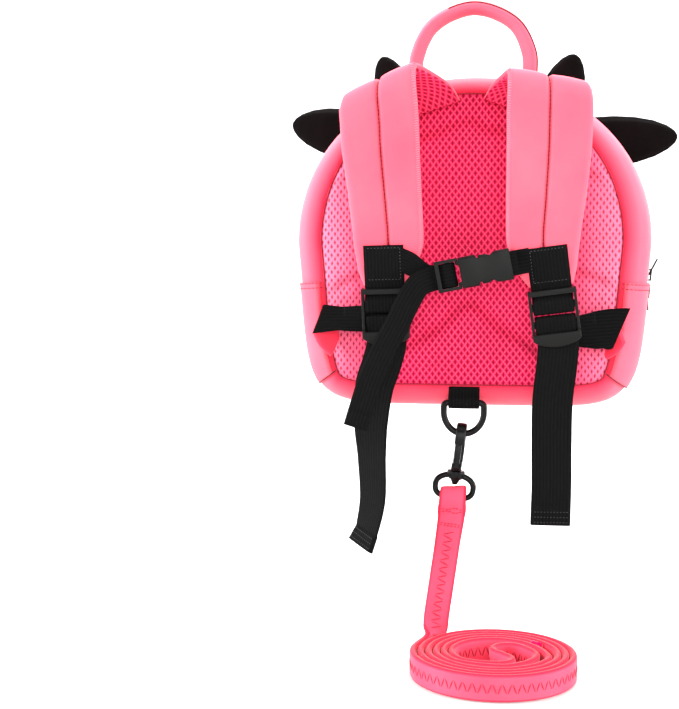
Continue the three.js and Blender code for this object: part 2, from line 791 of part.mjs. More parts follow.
const armReach = 20;
const armWidth = 2.4;
const armPlace = 6.1;
const barbStart = 11;
const endBar = 3;
const bodyLength = femaleLength - 6.4;
const frameRail = 1.9;
const sideRail = 1.7;
const coverPlate = 0.7;
const notchLength = 12.5;
const frameReach = 18;

// The half with the arms: a frame with two bars for the webbing, and two sprung arms
function buckleMaleGeometry() {
  const w = buckleWidth / 2;
  const start = -maleLength - 0.6;
  const rail = (y) => box(maleLength - 0.6, frameRail, 4.6, start + (maleLength - 0.6) / 2, y, 0.85);
  const outerBar = box(2.3, buckleWidth, 1.9, start + 1.15, 0, 2.2);
  const innerBar = box(3, buckleWidth, 1.4, -7, 0, -0.2);
  const arm = (side) => {
    const shape = new THREE.Shape();
    shape.moveTo(-2.2, w);
    shape.lineTo(-2.2, w - frameRail - 2.2);
    shape.lineTo(0.5, armPlace - armWidth / 2);
    shape.lineTo(armReach, armPlace - armWidth / 2);
    shape.lineTo(armReach, armPlace + armWidth / 2);
    shape.lineTo(barbStart + 5, w - 0.8);
    shape.lineTo(barbStart + 1.5, w - 0.8);
    shape.lineTo(barbStart + 0.8, armPlace + armWidth / 2);
    shape.lineTo(-0.3, armPlace + armWidth / 2);
    shape.lineTo(-0.7, w);
    shape.closePath();
    const solid = plate(shape, 3.4);
    return side > 0 ? solid : solid.applyMatrix4(new THREE.Matrix4().makeRotationX(Math.PI));
  };
  return join(rail(w - frameRail / 2), rail(-w + frameRail / 2), outerBar, innerBar, arm(1), arm(-1));
}

// The half that takes the arms: a hollow body with a notch in each side and an end bar
function buckleFemaleGeometry() {
  const w = buckleWidth / 2;
  const t = buckleThickness / 2;
  const shell = new THREE.Shape();
  shell.moveTo(-w + 1.6, -t);
  shell.lineTo(w - 1.6, -t);
  shell.quadraticCurveTo(w, -t, w, 0);
  shell.quadraticCurveTo(w, t, w - 1.6, t);
  shell.lineTo(-w + 1.6, t);
  shell.quadraticCurveTo(-w, t, -w, 0);
  shell.quadraticCurveTo(-w, -t, -w + 1.6, -t);
  const standing = new THREE.Matrix4().makeBasis(vec(0, 1, 0), vec(0, 0, 1), vec(1, 0, 0));
  const body = new THREE.ExtrudeGeometry(shell, { depth: bodyLength, bevelEnabled: false, curveSegments: 3, steps: 1 })
    .applyMatrix4(standing);
  const cavity = box(bodyLength - 2, 2 * (armPlace + armWidth / 2 + 0.5), 4, (bodyLength - 4) / 2, 0, 0);
  const notch = (side) => {
    const shape = new THREE.Shape();
    shape.moveTo(barbStart - 1.5, side * (w + 1));
    shape.lineTo(barbStart + 0.2, side * (armPlace + 0.9));
    shape.lineTo(barbStart + 7.5, side * (armPlace + 0.9));
    shape.lineTo(barbStart + notchLength, side * (w + 1));
    shape.closePath();
    return plate(shape, buckleThickness + 2);
  };
  const tailStart = bodyLength - 0.5;
  const tailSpan = femaleLength - tailStart;
  const tailMiddle = tailStart + tailSpan / 2;
  const low = -1.8;
  const high = t - coverPlate / 2;
  const rail = (y) => box(tailSpan, sideRail, high - low, tailMiddle, y, (high + low) / 2);
  const bar = box(endBar, buckleWidth - 1, 2, femaleLength - endBar / 2, 0, 0);
  const cover = box(tailSpan, buckleWidth - 1, coverPlate, tailMiddle, 0, t - coverPlate / 2);
  const hollow = geometryOf([cavity, notch(1), notch(-1)]
    .reduce((solid, tool) => solid.subtract(solidOf(tool)), solidOf(body)));
  return join(hollow, rail(w - 0.9), rail(-w + 0.9), bar, cover);
}

// Webbing of the chest strap on the side of the male half: from the patch, behind both
// bars, round the inner bar, behind the outer bar and down as a free tail. The tail's
// rows are x and drop as shares of its length, forward in shares of the webbing's width,
// and slope in degrees
const chestTailRows = [
  { x: 0.1, drop: 0.04, out: 0.22, slope: 24 },
  { x: 0.17, drop: 0.15, out: 0.42, slope: 46 },
  { x: 0.23, drop: 0.28, out: 0.52, slope: 60 },
  { x: 0.325, drop: 0.46, out: 0.52, slope: 62 },
  { x: 0.415, drop: 0.66, out: 0.44, slope: 67 },
  { x: 0.487, drop: 0.88, out: 0.4, slope: 72 },
  { x: 0.492, drop: 0.895, out: 0.4, slope: 72 },
  { x: 0.52, drop: 0.99, out: 0.38, slope: 72 },
];

// Where the chest strap lies on the strap at the patch's edge, and the strap's run there
function patchEdge(side) {
  const inward = side === 'left' ? 1 : -1;
  const frame = lockFrame(side);
  const back = frame.clone().invert();
  const lift = layerGap / 2 + strapThickness + 4 * seatGap + chestThickness / 2;
  const stations = shifted(strapStations(side), lift);
  const level = (s) => s.at.clone().applyMatrix4(back);
  const goal = chestLockY[side];
  const near = stations.reduce((best, s) => (Math.abs(level(s).y - goal) < Math.abs(level(best).y - goal) ? s : best));
  const middle = level(near);
  const reach = inward * (webbingWidth / 2 + 2.5 * seatGap) - middle.x;
  return {
    at: near.at.clone().addScaledVector(near.across, reach).addScaledVector(near.along, middle.y - goal),
    across: near.along.clone().negate(),
    right: near.across,
  };
}

function chestLeftGeometry() {
  const frame = buckleFrame();
  const up = vec(0, 1, 0).transformDirection(frame);
  const place = (x, z) => vec(x, 0, z).applyMatrix4(frame);
  const slope = (degrees) => vec(-Math.sin(rad(degrees)), 0, Math.cos(rad(degrees)));
  const edge = patchEdge('left');
  const start = edge.at;
  const leave = [-maleLength - 1.5, 0.4];
  const entry = place(-frameReach, -2.2).addScaledVector(up, 1);
  const rows = [
    { at: start, across: edge.across, thick: 1, folded: true },
    { at: start.clone().lerp(entry, 0.45).addScaledVector(up, 1), across: edge.across, thick: 1, folded: true },
    { at: entry, across: edge.across.clone().lerp(up, 0.7).normalize(), thick: 1, folded: true },
    ...[[-13, -1.9], [-9, -1.9], [-5.4, -1.9], [-3.5, -1.1], [-3.1, -0.2], [-3.6, 0.8], [-5.4, 1.4],
      [-8.6, 1.5], [-10.4, 1.1], [-12.2, 0.45], leave]
      .map(([x, z]) => ({ at: place(x, z), across: up, thick: 1 })),
  ];
  for (const [i, row] of chestTailRows.entries()) {
    rows.push({
      at: place(...leave).add(vec(-row.x * chestTailLength, -row.out * chestWidth, -row.drop * chestTailLength)),
      across: slope(row.slope),
      thick: i > chestTailRows.length - 3 ? 2.2 : 1,
    });
  }
  return strip(smoothRun(rows, 50, ['thick']), (s) => flatSection(chestWidth, chestThickness * s.thick));
}

function chestRightGeometry() {
  const frame = buckleFrame();
  const up = vec(0, 1, 0).transformDirection(frame);
  const place = (x, z) => vec(x, 0, z).applyMatrix4(frame);
  const edge = patchEdge('right');
  const barMiddle = femaleLength - endBar / 2;
  const run = 1 + seatGap + chestThickness / 2;
  const rows = [
    { at: edge.at, across: edge.across },
    ...[[barMiddle + 4.5, -run], [barMiddle + 0.8, -run], [barMiddle - 1, -run], [barMiddle - 2.6, -0.75 * run],
      [barMiddle - 3.3, 0], [barMiddle - 2.6, 0.75 * run], [barMiddle - 1, run], [barMiddle + 1.5, run],
      [barMiddle + 5.5, run - 0.3]]
      .map(([x, z]) => ({ at: place(x, z), across: up })),
  ];
  return strip(smoothRun(rows, 34), () => flatSection(chestWidth, chestThickness));
}

// Ring under the bag, in the plane of its webbing tab
const ringX = -3;
const ringStandOff = 2.5;
const ringCorner = 2.6;
const ringBarZ = -(bodyDrop + bodyHeight - seamInsetBottom) - ringTabLength;
const ringY = backSeam - ringStandOff;

// The ring's middle line, clockwise from the left end of its straight bar
function ringPoints() {
  const w = (ringWidth - ringWire) / 2;
  const h = ringHeight - ringWire;
  const straight = 0.3 * h;
  const corner = (side, turn) => new THREE.Vector2(
    side * (w - ringCorner + ringCorner * Math.cos(rad(turn))), -ringCorner + ringCorner * Math.sin(rad(turn)));
  const turns = [0, 18, 36, 54, 72, 90, 108, 126, 144, 162, 180];
  return [
    corner(-1, 0), corner(-1, 45), corner(-1, 90),
    corner(1, 90), corner(1, 45), corner(1, 0),
    ...turns.map((turn) => new THREE.Vector2(
      w * Math.cos(rad(turn)), -straight - (h - straight) * Math.sin(rad(turn)))),
  ];
}

// A closed wire along a loop of points [x, y] in the plane z = 0
function wireLoop(points, wire, sides = 8) {
  const total = points.length;
  const rings = points.map((p, i) => {
    const span = points[(i + 1) % total].clone().sub(points[(i + total - 1) % total]).normalize();
    const normal = vec(-span.y, span.x, 0);
    return Array.from({ length: sides }, (_, k) => {
      const turn = (2 * Math.PI * (k + 0.5)) / sides;
      return vec(p.x, p.y, 0).addScaledVector(normal, Math.cos(turn) * wire / 2)
        .add(vec(0, 0, Math.sin(turn) * wire / 2));
    });
  });
  return skin(rings, { loop: true });
}

// Stands a flat drawing up: its Y becomes +Z, and its Z looks to the back
function standing(x, y, z) {
  return new THREE.Matrix4().makeTranslation(x, y, z).multiply(new THREE.Matrix4().makeRotationX(Math.PI / 2));
}

function ringGeometry() {
  return wireLoop(ringPoints(), ringWire);
}

function ringTabGeometry() {
  const around = ringWire / 2 + 1.3 * seatGap + chestThickness / 2;
  const rows = [
    [backSeam - 0.9, ringBarZ + ringTabLength - 1],
    [backSeam - 1.6, ringBarZ + ringTabLength - 4.5],
    [ringY - around * 0.94, ringBarZ + 2.2],
    [ringY - around, ringBarZ],
    [ringY - 0.7 * around, ringBarZ - 0.72 * around],
    [ringY, ringBarZ - around],
    [ringY + 0.7 * around, ringBarZ - 0.72 * around],
    [ringY + around, ringBarZ],
    [ringY + 0.85 * around, ringBarZ + 1.8],
    [ringY + 0.45 * around, ringBarZ + 4],
  ].map(([y, z]) => ({ at: vec(ringX, y, z), across: vec(1, 0, 0) }));
  const tab = strip(smoothRun(rows, 24), () => flatSection(ringTabWidth, chestThickness));
  return cut(tab, gussetSpace(seatGap), panelGeometry(seatGap));
}

// Snap hook, drawn in its own frame: X towards the back, Y up from its collar, Z across
const hookLift = 0.75;
const shankRadius = 1.7;
const bossHeight = 5.5;
const bossRadius = 5.6;
const knobLength = 3.2;
const knobRadius = 3.1;
const gateTop = 16.6;
const gateWidth = 3.4;
const gatePivot = { x: 6.2, y: 2.5 };
const pinRadius = 0.7;
const gateBore = 1.05;
const earThickness = 1.1;

function hookFrame() {
  const tilt = rad(hookTilt);
  const w = (ringWidth - ringWire) / 2;
  const deep = 0.7 * (ringHeight - ringWire);
  const lowest = ringBarZ - (ringHeight - ringWire);
  const contact = vec(ringX - w * Math.sin(tilt), ringY, lowest + deep * (1 - Math.cos(tilt)));
  const up = vec(Math.sin(tilt), 0, Math.cos(tilt));
  const toBack = vec(0, -1, 0);
  const across = toBack.clone().cross(up);
  const drop = hookLength - hookWall - ringWire / 2 - hookLift;
  const collar = contact.addScaledVector(up, -drop);
  return new THREE.Matrix4().makeBasis(toBack, up, across).setPosition(collar);
}

function cylinder(radius, low, high, sides = 12, top = radius) {
  return new THREE.CylinderGeometry(top, radius, high - low, sides).translate(0, (low + high) / 2, 0);
}

function hookGeometry() {
  const w = hookDepth / 2;
  const inner = w - hookWall;
  const nose = gateTop + 0.4;
  const shape = new THREE.Shape();
  shape.moveTo(-2.6, 0);
  shape.quadraticCurveTo(-w, 2, -w, 0.3 * hookLength);
  shape.lineTo(-w, hookLength - w);
  shape.absarc(0, hookLength - w, w, Math.PI, 0, true);
  shape.lineTo(w, nose);
  shape.lineTo(w - hookWall + 0.6, nose);
  shape.lineTo(inner, hookLength - w);
  shape.absarc(0, hookLength - w, inner, 0, Math.PI, false);
  shape.lineTo(-inner, 0.3 * hookLength);
  shape.quadraticCurveTo(-inner, 4.6, -1.5, 4.6);
  shape.lineTo(3.2, 4.6);
  shape.lineTo(3.2, 0);
  shape.closePath();
  const ear = new THREE.Shape();
  ear.moveTo(1.5, 0);
  ear.lineTo(gatePivot.x + 0.6, 0.2);
  ear.lineTo(w - 0.2, 1.6);
  ear.lineTo(w - 0.2, 3.4);
  ear.lineTo(gatePivot.x + 0.4, 4.6);
  ear.lineTo(1.5, 4.6);
  ear.closePath();
  const earPlace = (hookWidth - earThickness) / 2;
  const pin = new THREE.CylinderGeometry(pinRadius, pinRadius, hookWidth - 0.4, 8)
    .rotateX(Math.PI / 2).translate(gatePivot.x, gatePivot.y, 0);
  return join(plate(shape, hookWidth, 0.6), plate(ear, earThickness).translate(0, 0, earPlace),
    plate(ear, earThickness).translate(0, 0, -earPlace), pin,
    cylinder(shankRadius, -bossHeight - 2 * seatGap - 0.5, 1.2),
    cylinder(knobRadius * 0.5, -bossHeight - 2 * seatGap - knobLength, -bossHeight - 2 * seatGap, 12, knobRadius));
}

function gateGeometry() {
  const shape = new THREE.Shape();
  shape.moveTo(gatePivot.x - 1.5, 1.2);
  shape.lineTo(gatePivot.x + 0.9, 0.9);
  shape.lineTo(gatePivot.x + 1.8, 2.4);
  shape.lineTo(gatePivot.x + 1.8, gateTop);
  shape.lineTo(gatePivot.x - 1.3, gateTop);
  shape.lineTo(gatePivot.x - 1.5, 4);
  shape.closePath();
  const hole = new THREE.Path();
  hole.absarc(gatePivot.x, gatePivot.y, gateBore, 0, 2 * Math.PI, true);
  shape.holes.push(hole);
  return plate(shape, gateWidth);
}

// Swivel eye: a rounded wire ring hung from a boss that turns on the hook's shank
const eyeMiddle = -bossHeight / 2 - (eyeHeight - eyeWire) / 2 - 0.5;

function eyeGeometry() {
  const a = (eyeWidth - eyeWire) / 2;
  const b = (eyeHeight - eyeWire) / 2;
  const count = 20;
  const points = Array.from({ length: count }, (_, i) => {
    const turn = (2 * Math.PI * i) / count;
    const c = Math.cos(turn);
    const s = Math.sin(turn);
    const exponent = s < 0 ? 3 : 2.2;
    const reach = (Math.abs(c) ** exponent + Math.abs(s) ** exponent) ** (-1 / exponent);
    return new THREE.Vector2(a * c * reach, b * s * reach);
  });
  const ring = wireLoop(points, eyeWire).rotateY(Math.PI / 2).translate(0, eyeMiddle, 0);
  const top = -seatGap;
  const bottom = top - bossHeight;
  const boss = cylinder(bossRadius * 0.8, bottom, top, 14, bossRadius);
  const bore = cylinder(shankRadius + 0.4, bottom - 1, 1);
  const room = cylinder(knobRadius + 0.5, bottom - knobLength - 1, bottom, 12);
  return cut(join(ring, boss), bore, room);
}

// Tether: one flat strap from its sewn loop on the eye down to the coil and in to its end
// The coil stands on its edge beside the hanging run
const coilX = 19;
const coilY = -68;
const coilStart = 155;
const coilStep = 24;
const coilSteps = 64;
const shiftStart = 1270;
const shiftSpan = 40;
const returnEnd = 1315;
const bendRadius = 16;

function coilPoint(turned, inner) {
  const radius = coilRadius - leashThickness / 2 - (coilPitch * turned) / 360
    - (inner ? coilPitch * THREE.MathUtils.smoothstep(turned, shiftStart, shiftStart + shiftSpan) : 0);
  const angle = rad(coilStart + turned);
  return new THREE.Vector2(Math.cos(angle) * radius, Math.sin(angle) * radius);
}

// The strap's pass through the middle, as shares of the coil's radius
const crossing = [
  { x: 0.04, y: -0.425 },
  { x: 0.18, y: -0.35 },
  { x: 0.2, y: -0.2 },
  { x: 0.1, y: -0.06 },
  { x: -0.02, y: 0.08 },
  { x: -0.02, y: 0.22 },
  { x: 0.1, y: 0.33 },
  { x: 0.26, y: 0.31 },
  { x: 0.385, y: 0.18 },
  { x: 0.48, y: 0.0 },
  { x: 0.44, y: -0.24 },
  { x: 0.28, y: -0.44 },
  { x: 0.1, y: -0.535 },
];

function coilPlan() {
  const points = [];
  for (let i = 0; i < coilSteps; i++) points.push(coilPoint(i * coilStep, true));
  for (const row of crossing) points.push(new THREE.Vector2(row.x * coilRadius, row.y * coilRadius));
  for (let turned = coilSteps * coilStep - coilStep; turned >= returnEnd; turned -= coilStep) {
    points.push(coilPoint(turned, false));
  }
  return points;
}

function leashGeometry() {
  const frame = hookFrame();
  const eye = vec(0, eyeMiddle - (eyeHeight - eyeWire) / 2, 0).applyMatrix4(frame);
  const loopThickness = 0.84;
  const t = leashThickness * loopThickness;
  const around = eyeWire / 2 + seatGap + t / 2;
  const over = around + 2;
  const sewn = t / 2 + 0.2;
  const tilt = rad(-hookTilt * 0.55);
  const right = vec(Math.cos(tilt), 0, -Math.sin(tilt));
  const down = vec(Math.sin(tilt), 0, -Math.cos(tilt));
  const put = (y, low) => eye.clone().add(vec(0, -y, 0)).addScaledVector(down, low);
  const loop = [
    { y: -sewn, low: 12, width: 1.06 },
    { y: -sewn - 0.3, low: 8, width: 1.12 },
    { y: -around, low: 2.5, width: 1.04 },
    { y: -around, low: -over * 0.5, width: 1.02 },
    { y: -0.6 * around, low: -over * 0.92, width: 1.02 },
    { y: 0, low: -over, width: 1.02 },
    { y: 0.6 * around, low: -over * 0.92, width: 1.02 },
    { y: around, low: -over * 0.5, width: 1.02 },
    { y: around, low: 2.5, width: 1.04 },
    { y: sewn + 0.3, low: 8, width: 1.12 },
    { y: sewn, low: 12, width: 1.06 },
  ].map((row) => ({ at: put(row.y, row.low), across: right, width: row.width, thick: loopThickness }));

  const coilTop = eye.z - leashDrop;
  const level = coilTop - leashWidth / 2;
  const startAngle = rad(coilStart);
  const tangent = vec(-Math.sin(startAngle), Math.cos(startAngle), 0);
  const inward = vec(-tangent.y, tangent.x, 0);
  const first = coilPoint(0, true);
  const bendEnd = vec(coilX + first.x, coilY + first.y, level);
  const bendStart = bendEnd.clone().addScaledVector(tangent, -bendRadius).add(vec(0, 0, bendRadius));
  const twistStart = Math.atan2(-tangent.x, inward.x);
  const bend = [0, 10, 20, 30, 40, 50, 60, 70, 80].map((degrees) => {
    const turn = rad(degrees);
    const at = bendStart.clone().addScaledVector(tangent, bendRadius * (1 - Math.cos(turn)))
      .add(vec(0, 0, -bendRadius * Math.sin(turn)));
    const flat = vec(0, 0, -Math.sin(turn)).addScaledVector(tangent, -Math.cos(turn));
    const twist = lerp(twistStart, Math.PI / 2, THREE.MathUtils.smoothstep(degrees, 0, 55));
    const across = inward.clone().multiplyScalar(Math.cos(twist)).addScaledVector(flat, Math.sin(twist));
    return { at, across, width: 1, thick: 1 };
  });
  const last = loop[loop.length - 1].at;
  const hang = [0.25, 0.6].map((share) => ({
    at: last.clone().lerp(bendStart, share), across: right.clone().lerp(vec(1, 0, 0), share), width: 1, thick: 1,
  }));
  const coil = coilPlan().map((p) => ({
    at: vec(coilX + p.x, coilY + p.y, level), across: vec(0, 0, -1), width: 1, thick: 1,
  }));
  const upper = smoothRun([...loop, ...hang, ...bend, coil[0]], 44, ['width', 'thick']);
  upper.pop();
  const lower = coil.map((row, i) => {
    const before = coil[Math.max(0, i - 1)].at;
    const after = coil[Math.min(coil.length - 1, i + 1)].at;
    return { ...row, along: i === 0 ? tangent : after.clone().sub(before).normalize() };
  });
  return strip([...upper, ...lower],
    (s) => padSection(leashWidth * s.width, leashThickness * s.thick));
}

// Horns: padded leaves on the side of the front panel. Columns: root as shares of the half
// width and of the body's height, direction of the tip in degrees from +X, bow in degrees,
// and length and width as shares
const hornRows = {
  horn_upper_left: { x: -0.42, z: 0.088, turn: 111, bow: 0, length: 0.86, width: 0.9 },
  horn_upper_right: { x: 0.45, z: 0.096, turn: 67, bow: 0, length: 0.98, width: 0.95 },
  horn_side_left: { x: -0.78, z: 0.155, turn: 169, bow: 0, length: 0.8, width: 0.9 },
  horn_side_right: { x: 0.78, z: 0.186, turn: 1, bow: 0, length: 1.03, width: 0.95 },
};

// Width and thickness of a horn along its length, as shares
const hornProfile = [
  { share: 0.0, width: 1.0, thick: 0.9 },
  { share: 0.25, width: 0.98, thick: 1.0 },
  { share: 0.5, width: 0.88, thick: 0.95 },
  { share: 0.72, width: 0.7, thick: 0.8 },
  { share: 0.88, width: 0.47, thick: 0.62 },
  { share: 0.97, width: 0.25, thick: 0.4 },
  { share: 1.0, width: 0.08, thick: 0.2 },
];

function hornGeometry(row) {
  const y = frontRim + hornThickness / 2 + 0.8;
  const length = hornLength * row.length;
  const root = vec(row.x * halfWidth, y, -(bodyDrop + row.z * bodyHeight));
  const at = root.clone();
  let before = 0;
  const stations = hornProfile.map((part) => {
    const turn = rad(row.turn + row.bow * (part.share - 0.5) * 2);
    at.add(vec(Math.cos(turn), 0, Math.sin(turn)).multiplyScalar((part.share - before) * length));
    before = part.share;
    return { ...part, at: at.clone(), along: vec(Math.cos(turn), 0, Math.sin(turn)),
      across: vec(-Math.sin(turn), 0, Math.cos(turn)) };
  });
  const horn = strip(stations, (s) => ovalSection(hornWidth * row.width * s.width, hornThickness * s.thick, 8));
  return cut(horn, frontSpace(seatGap), zipSpace());
}

// The zip's outer face, grown by a gap, so that the horns stay off it
function zipSpace() {
  const y = [zipSeam, frontRim - 0.1];
  return skin(y.map((at) => outline.map((s) => atStation(s, zipInset - zipCoilHeight - seatGap, at))), { cap: 'fan' });
}

// Sliders ride on the zip's coil, nose to nose, and carry a pull each
const sliderDrop = 131;
const sliderLength = 11;
const sliderWidth = 7.6;
const sliderThickness = 2.2;
const bridgeHeight = 2.8;
const pullLength = 12;
const pullWidth = 5;
const pullThickness = 1;
const pullWall = 1.1;
const bridgeWire = 1.1;

// A slider's frame: X out of the tape, Y along the tape away from the nose, Z to the back
function sliderFrame(which) {
  const fine = outlineStations(stationCount * 8).filter((s) => s.nx > 0);
  const level = -(bodyDrop + sliderDrop);
  const near = fine.reduce((best, s) => (Math.abs(s.z - level) < Math.abs(best.z - level) ? s : best));
  const out = vec(near.nx, 0, near.nz);
  const run = vec(-near.nz, 0, near.nx).multiplyScalar(which === 'upper' ? 1 : -1);
  const y = zipSeam + seatGap + zipWidth / 2;
  const shift = sliderLength / 2 + seatGap;
  const base = atStation(near, zipInset - zipCoilHeight - seatGap, y).addScaledVector(run, shift)
    .addScaledVector(out, 0.25);
  return new THREE.Matrix4().makeBasis(out, run, out.clone().cross(run)).setPosition(base);
}

function sliderGeometry() {
  const shape = new THREE.Shape();
  shape.moveTo(-sliderWidth * 0.32, sliderLength / 2);
  shape.lineTo(-sliderWidth / 2, -sliderLength * 0.15);
  shape.lineTo(-sliderWidth / 2, -sliderLength / 2);
  shape.lineTo(sliderWidth / 2, -sliderLength / 2);
  shape.lineTo(sliderWidth / 2, -sliderLength * 0.15);
  shape.lineTo(sliderWidth * 0.32, sliderLength / 2);
  shape.closePath();
  const flat = new THREE.Matrix4().makeBasis(vec(0, 0, 1), vec(0, 1, 0), vec(-1, 0, 0));
  const body = plate(shape, sliderThickness, 0.5).applyMatrix4(flat).translate(sliderThickness / 2, 0, 0);
  const top = sliderThickness + bridgeHeight;
  const bridge = join(
    box(bridgeHeight + 0.4, bridgeWire, 2, sliderThickness + bridgeHeight / 2 - 0.2, -3.4, 0),
    box(bridgeHeight + 0.4, bridgeWire, 2, sliderThickness + bridgeHeight / 2 - 0.2, 3.4, 0),
    box(bridgeWire, 6.8 + bridgeWire, 2, top, 0, 0),
  );
  return join(body, bridge);
}

// A pull turns about the bar at its end, under its slider's bridge; Y is along the pull.
// The turn is where it points, in degrees from +Z towards +X
const pullEye = 5.2;
const pullTurns = { upper: 27, lower: 176 };

function pullFrame(which) {
  const slider = sliderFrame(which);
  const hang = vec(sliderThickness + bridgeHeight / 2, 0, 0).applyMatrix4(slider);
  const turn = rad(pullTurns[which]);
  const along = vec(Math.sin(turn), 0, Math.cos(turn));
  const across = vec(0, 1, 0);
  return new THREE.Matrix4().makeBasis(across, along, across.clone().cross(along))
    .setPosition(hang);
}

function pullGeometry() {
  const w = pullWidth / 2;
  const low = -pullWall / 2;
  const shape = new THREE.Shape();
  shape.moveTo(-w, low);
  shape.lineTo(w, low);
  shape.lineTo(w, pullEye);
  shape.lineTo(0.8 * w, pullLength - 1);
  shape.lineTo(0.4 * w, pullLength);
  shape.lineTo(-0.4 * w, pullLength);
  shape.lineTo(-0.8 * w, pullLength - 1);
  shape.lineTo(-w, pullEye);
  shape.closePath();
  const eye = new THREE.Path();
  eye.moveTo(-w + pullWall, low + pullWall);
  eye.lineTo(-w + pullWall, pullEye - 0.2);
  eye.lineTo(w - pullWall, pullEye - 0.2);
  eye.lineTo(w - pullWall, low + pullWall);
  shape.holes.push(eye);
  return plate(shape, pullThickness);
}

// Meshes
const group = new THREE.Group();

const finishes = {
  neoprene: { color: 0xf77f98, roughness: 0.85, metalness: 0 },
  spacerMesh: { color: 0xf2386c, roughness: 0.9, metalness: 0 },
  webbing: { color: 0x1d1c1c, roughness: 0.9, metalness: 0 },
  plastic: { color: 0x2b2a29, roughness: 0.45, metalness: 0 },
  metal: { color: 0x1b1b1c, roughness: 0.35, metalness: 0.6 },
  hornCloth: { color: 0x2a2322, roughness: 0.85, metalness: 0 },
};

function place(name, geometry, finish, matrix) {
  const mesh = new THREE.Mesh(geometry, new THREE.MeshStandardMaterial(finishes[finish]));
  mesh.name = name;
  if (matrix) mesh.applyMatrix4(matrix);
  group.add(mesh);
  return mesh;
}

place('gusset', gussetGeometry, 'neoprene');
place('back_panel', panelGeometry(), 'spacerMesh');
place('front_panel', frontGeometry, 'neoprene');
place('zip_tape', zipGeometry, 'webbing');
place('side_pocket_left', pocketGeometry(-1), 'neoprene');
place('side_pocket_right', pocketGeometry(1), 'neoprene');
place('grab_handle', cut(handleGeometry(), gussetSpace(seatGap), panelGeometry(seatGap)), 'neoprene');
for (const side of ['left', 'right']) {
  const layers = strapLayers(side);
  place(`shoulder_strap_${side}`, layers.outer, 'neoprene');
  place(`strap_mesh_${side}`, layers.inner, 'spacerMesh');
  place(`strap_patch_${side}`, patchGeometry(side), 'webbing');
  place(`ladder_lock_${side}`, lockGeometry(), 'plastic', lockFrame(side));
  place(`side_tab_${side}`, tabGeometry(side), 'neoprene');
  place(`lower_webbing_${side}`, lowerWebbingGeometry(side), 'webbing');
}
place('chest_strap_left', chestLeftGeometry(), 'webbing');
place('chest_strap_right', chestRightGeometry(), 'webbing');
place('buckle_male', buckleMaleGeometry(), 'plastic', buckleFrame());
place('buckle_female', buckleFemaleGeometry(), 'plastic', buckleFrame());
place('d_ring_tab', ringTabGeometry(), 'webbing');
place('d_ring', ringGeometry(), 'metal', standing(ringX, ringY, ringBarZ));
place('snap_hook', hookGeometry(), 'metal', hookFrame());
place('hook_gate', gateGeometry(), 'metal', hookFrame());
place('swivel_eye', eyeGeometry(), 'metal', hookFrame());
place('leash', leashGeometry(), 'neoprene');
for (const which of ['upper', 'lower']) {
  place(`zip_slider_${which}`, sliderGeometry(), 'metal', sliderFrame(which));
  place(`zip_pull_${which}`, pullGeometry(), 'metal', pullFrame(which));
}
for (const [name, row] of Object.entries(hornRows)) place(name, hornGeometry(row), 'hornCloth');

export default group;
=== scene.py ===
import math

import bmesh
import bpy
import numpy as np
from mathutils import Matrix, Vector


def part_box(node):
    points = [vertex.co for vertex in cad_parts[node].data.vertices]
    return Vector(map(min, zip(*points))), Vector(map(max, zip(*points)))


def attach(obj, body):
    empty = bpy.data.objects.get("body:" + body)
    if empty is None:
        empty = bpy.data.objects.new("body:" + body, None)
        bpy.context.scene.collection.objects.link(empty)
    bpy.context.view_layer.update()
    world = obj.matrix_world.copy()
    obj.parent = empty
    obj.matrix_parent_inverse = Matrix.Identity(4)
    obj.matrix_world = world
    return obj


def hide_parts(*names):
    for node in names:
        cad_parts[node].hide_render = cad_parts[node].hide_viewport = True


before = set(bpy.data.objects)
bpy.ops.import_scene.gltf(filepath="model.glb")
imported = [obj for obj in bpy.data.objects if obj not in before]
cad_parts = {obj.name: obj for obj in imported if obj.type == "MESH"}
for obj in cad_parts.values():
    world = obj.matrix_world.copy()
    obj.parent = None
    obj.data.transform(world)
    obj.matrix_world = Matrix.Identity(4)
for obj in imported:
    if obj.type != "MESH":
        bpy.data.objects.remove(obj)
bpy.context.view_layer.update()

# Units: lengths below are in millimetres, and MM turns them into Blender's metres
MM = 0.001
GAP = 0.3
LAYER_GAP = 0.5
SIDES = ("left", "right")
OUTWARD = {"left": -1, "right": 1}


def size_of(node):
    """Lowest and highest corner of a CAD node in millimetres."""
    low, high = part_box(node)
    return np.array(low) / MM, np.array(high) / MM


# Bag body, from the frame
gusset_low, gusset_high = size_of("gusset")
HALF_WIDTH = 113.0
BODY_TOP = -gusset_high[2]
BACK_SEAM = gusset_low[1]
ZIP_SEAM = gusset_high[1]
GUSSET_DEPTH = ZIP_SEAM - BACK_SEAM
BODY_MIDDLE = (gusset_high[2] + gusset_low[2]) / 2
BODY_TAIL = 209.0
SEAM_INSET = {"side": 19.4, "top": 12.4, "bottom": 15.6}
ZIP_INSET = 2.4
PANEL_BULGE = 7.0
PANEL_EDGE = 5.0

# Small helpers


def rad(degrees):
    return math.radians(degrees)


def vec(x, y, z):
    return np.array([x, y, z], dtype=float)


def heading(degrees):
    """A direction in the XZ plane, turned from +X towards +Z."""
    return vec(math.cos(rad(degrees)), 0, math.sin(rad(degrees)))


def lerp(a, b, share):
    return a + (b - a) * share


def unit(v):
    return v / np.linalg.norm(v)


def smoothstep(x, low, high):
    t = np.clip((x - low) / (high - low), 0, 1)
    return t * t * (3 - 2 * t)


def bell(x, middle, width):
    return np.exp(-((x - middle) / width) ** 2)


def unit_rows(v):
    return v / np.linalg.norm(v, axis=1)[:, None]


def lengths_of(points):
    """Length from the first point to each point."""
    return np.concatenate([[0], np.cumsum(np.linalg.norm(np.diff(points, axis=0), axis=1))])


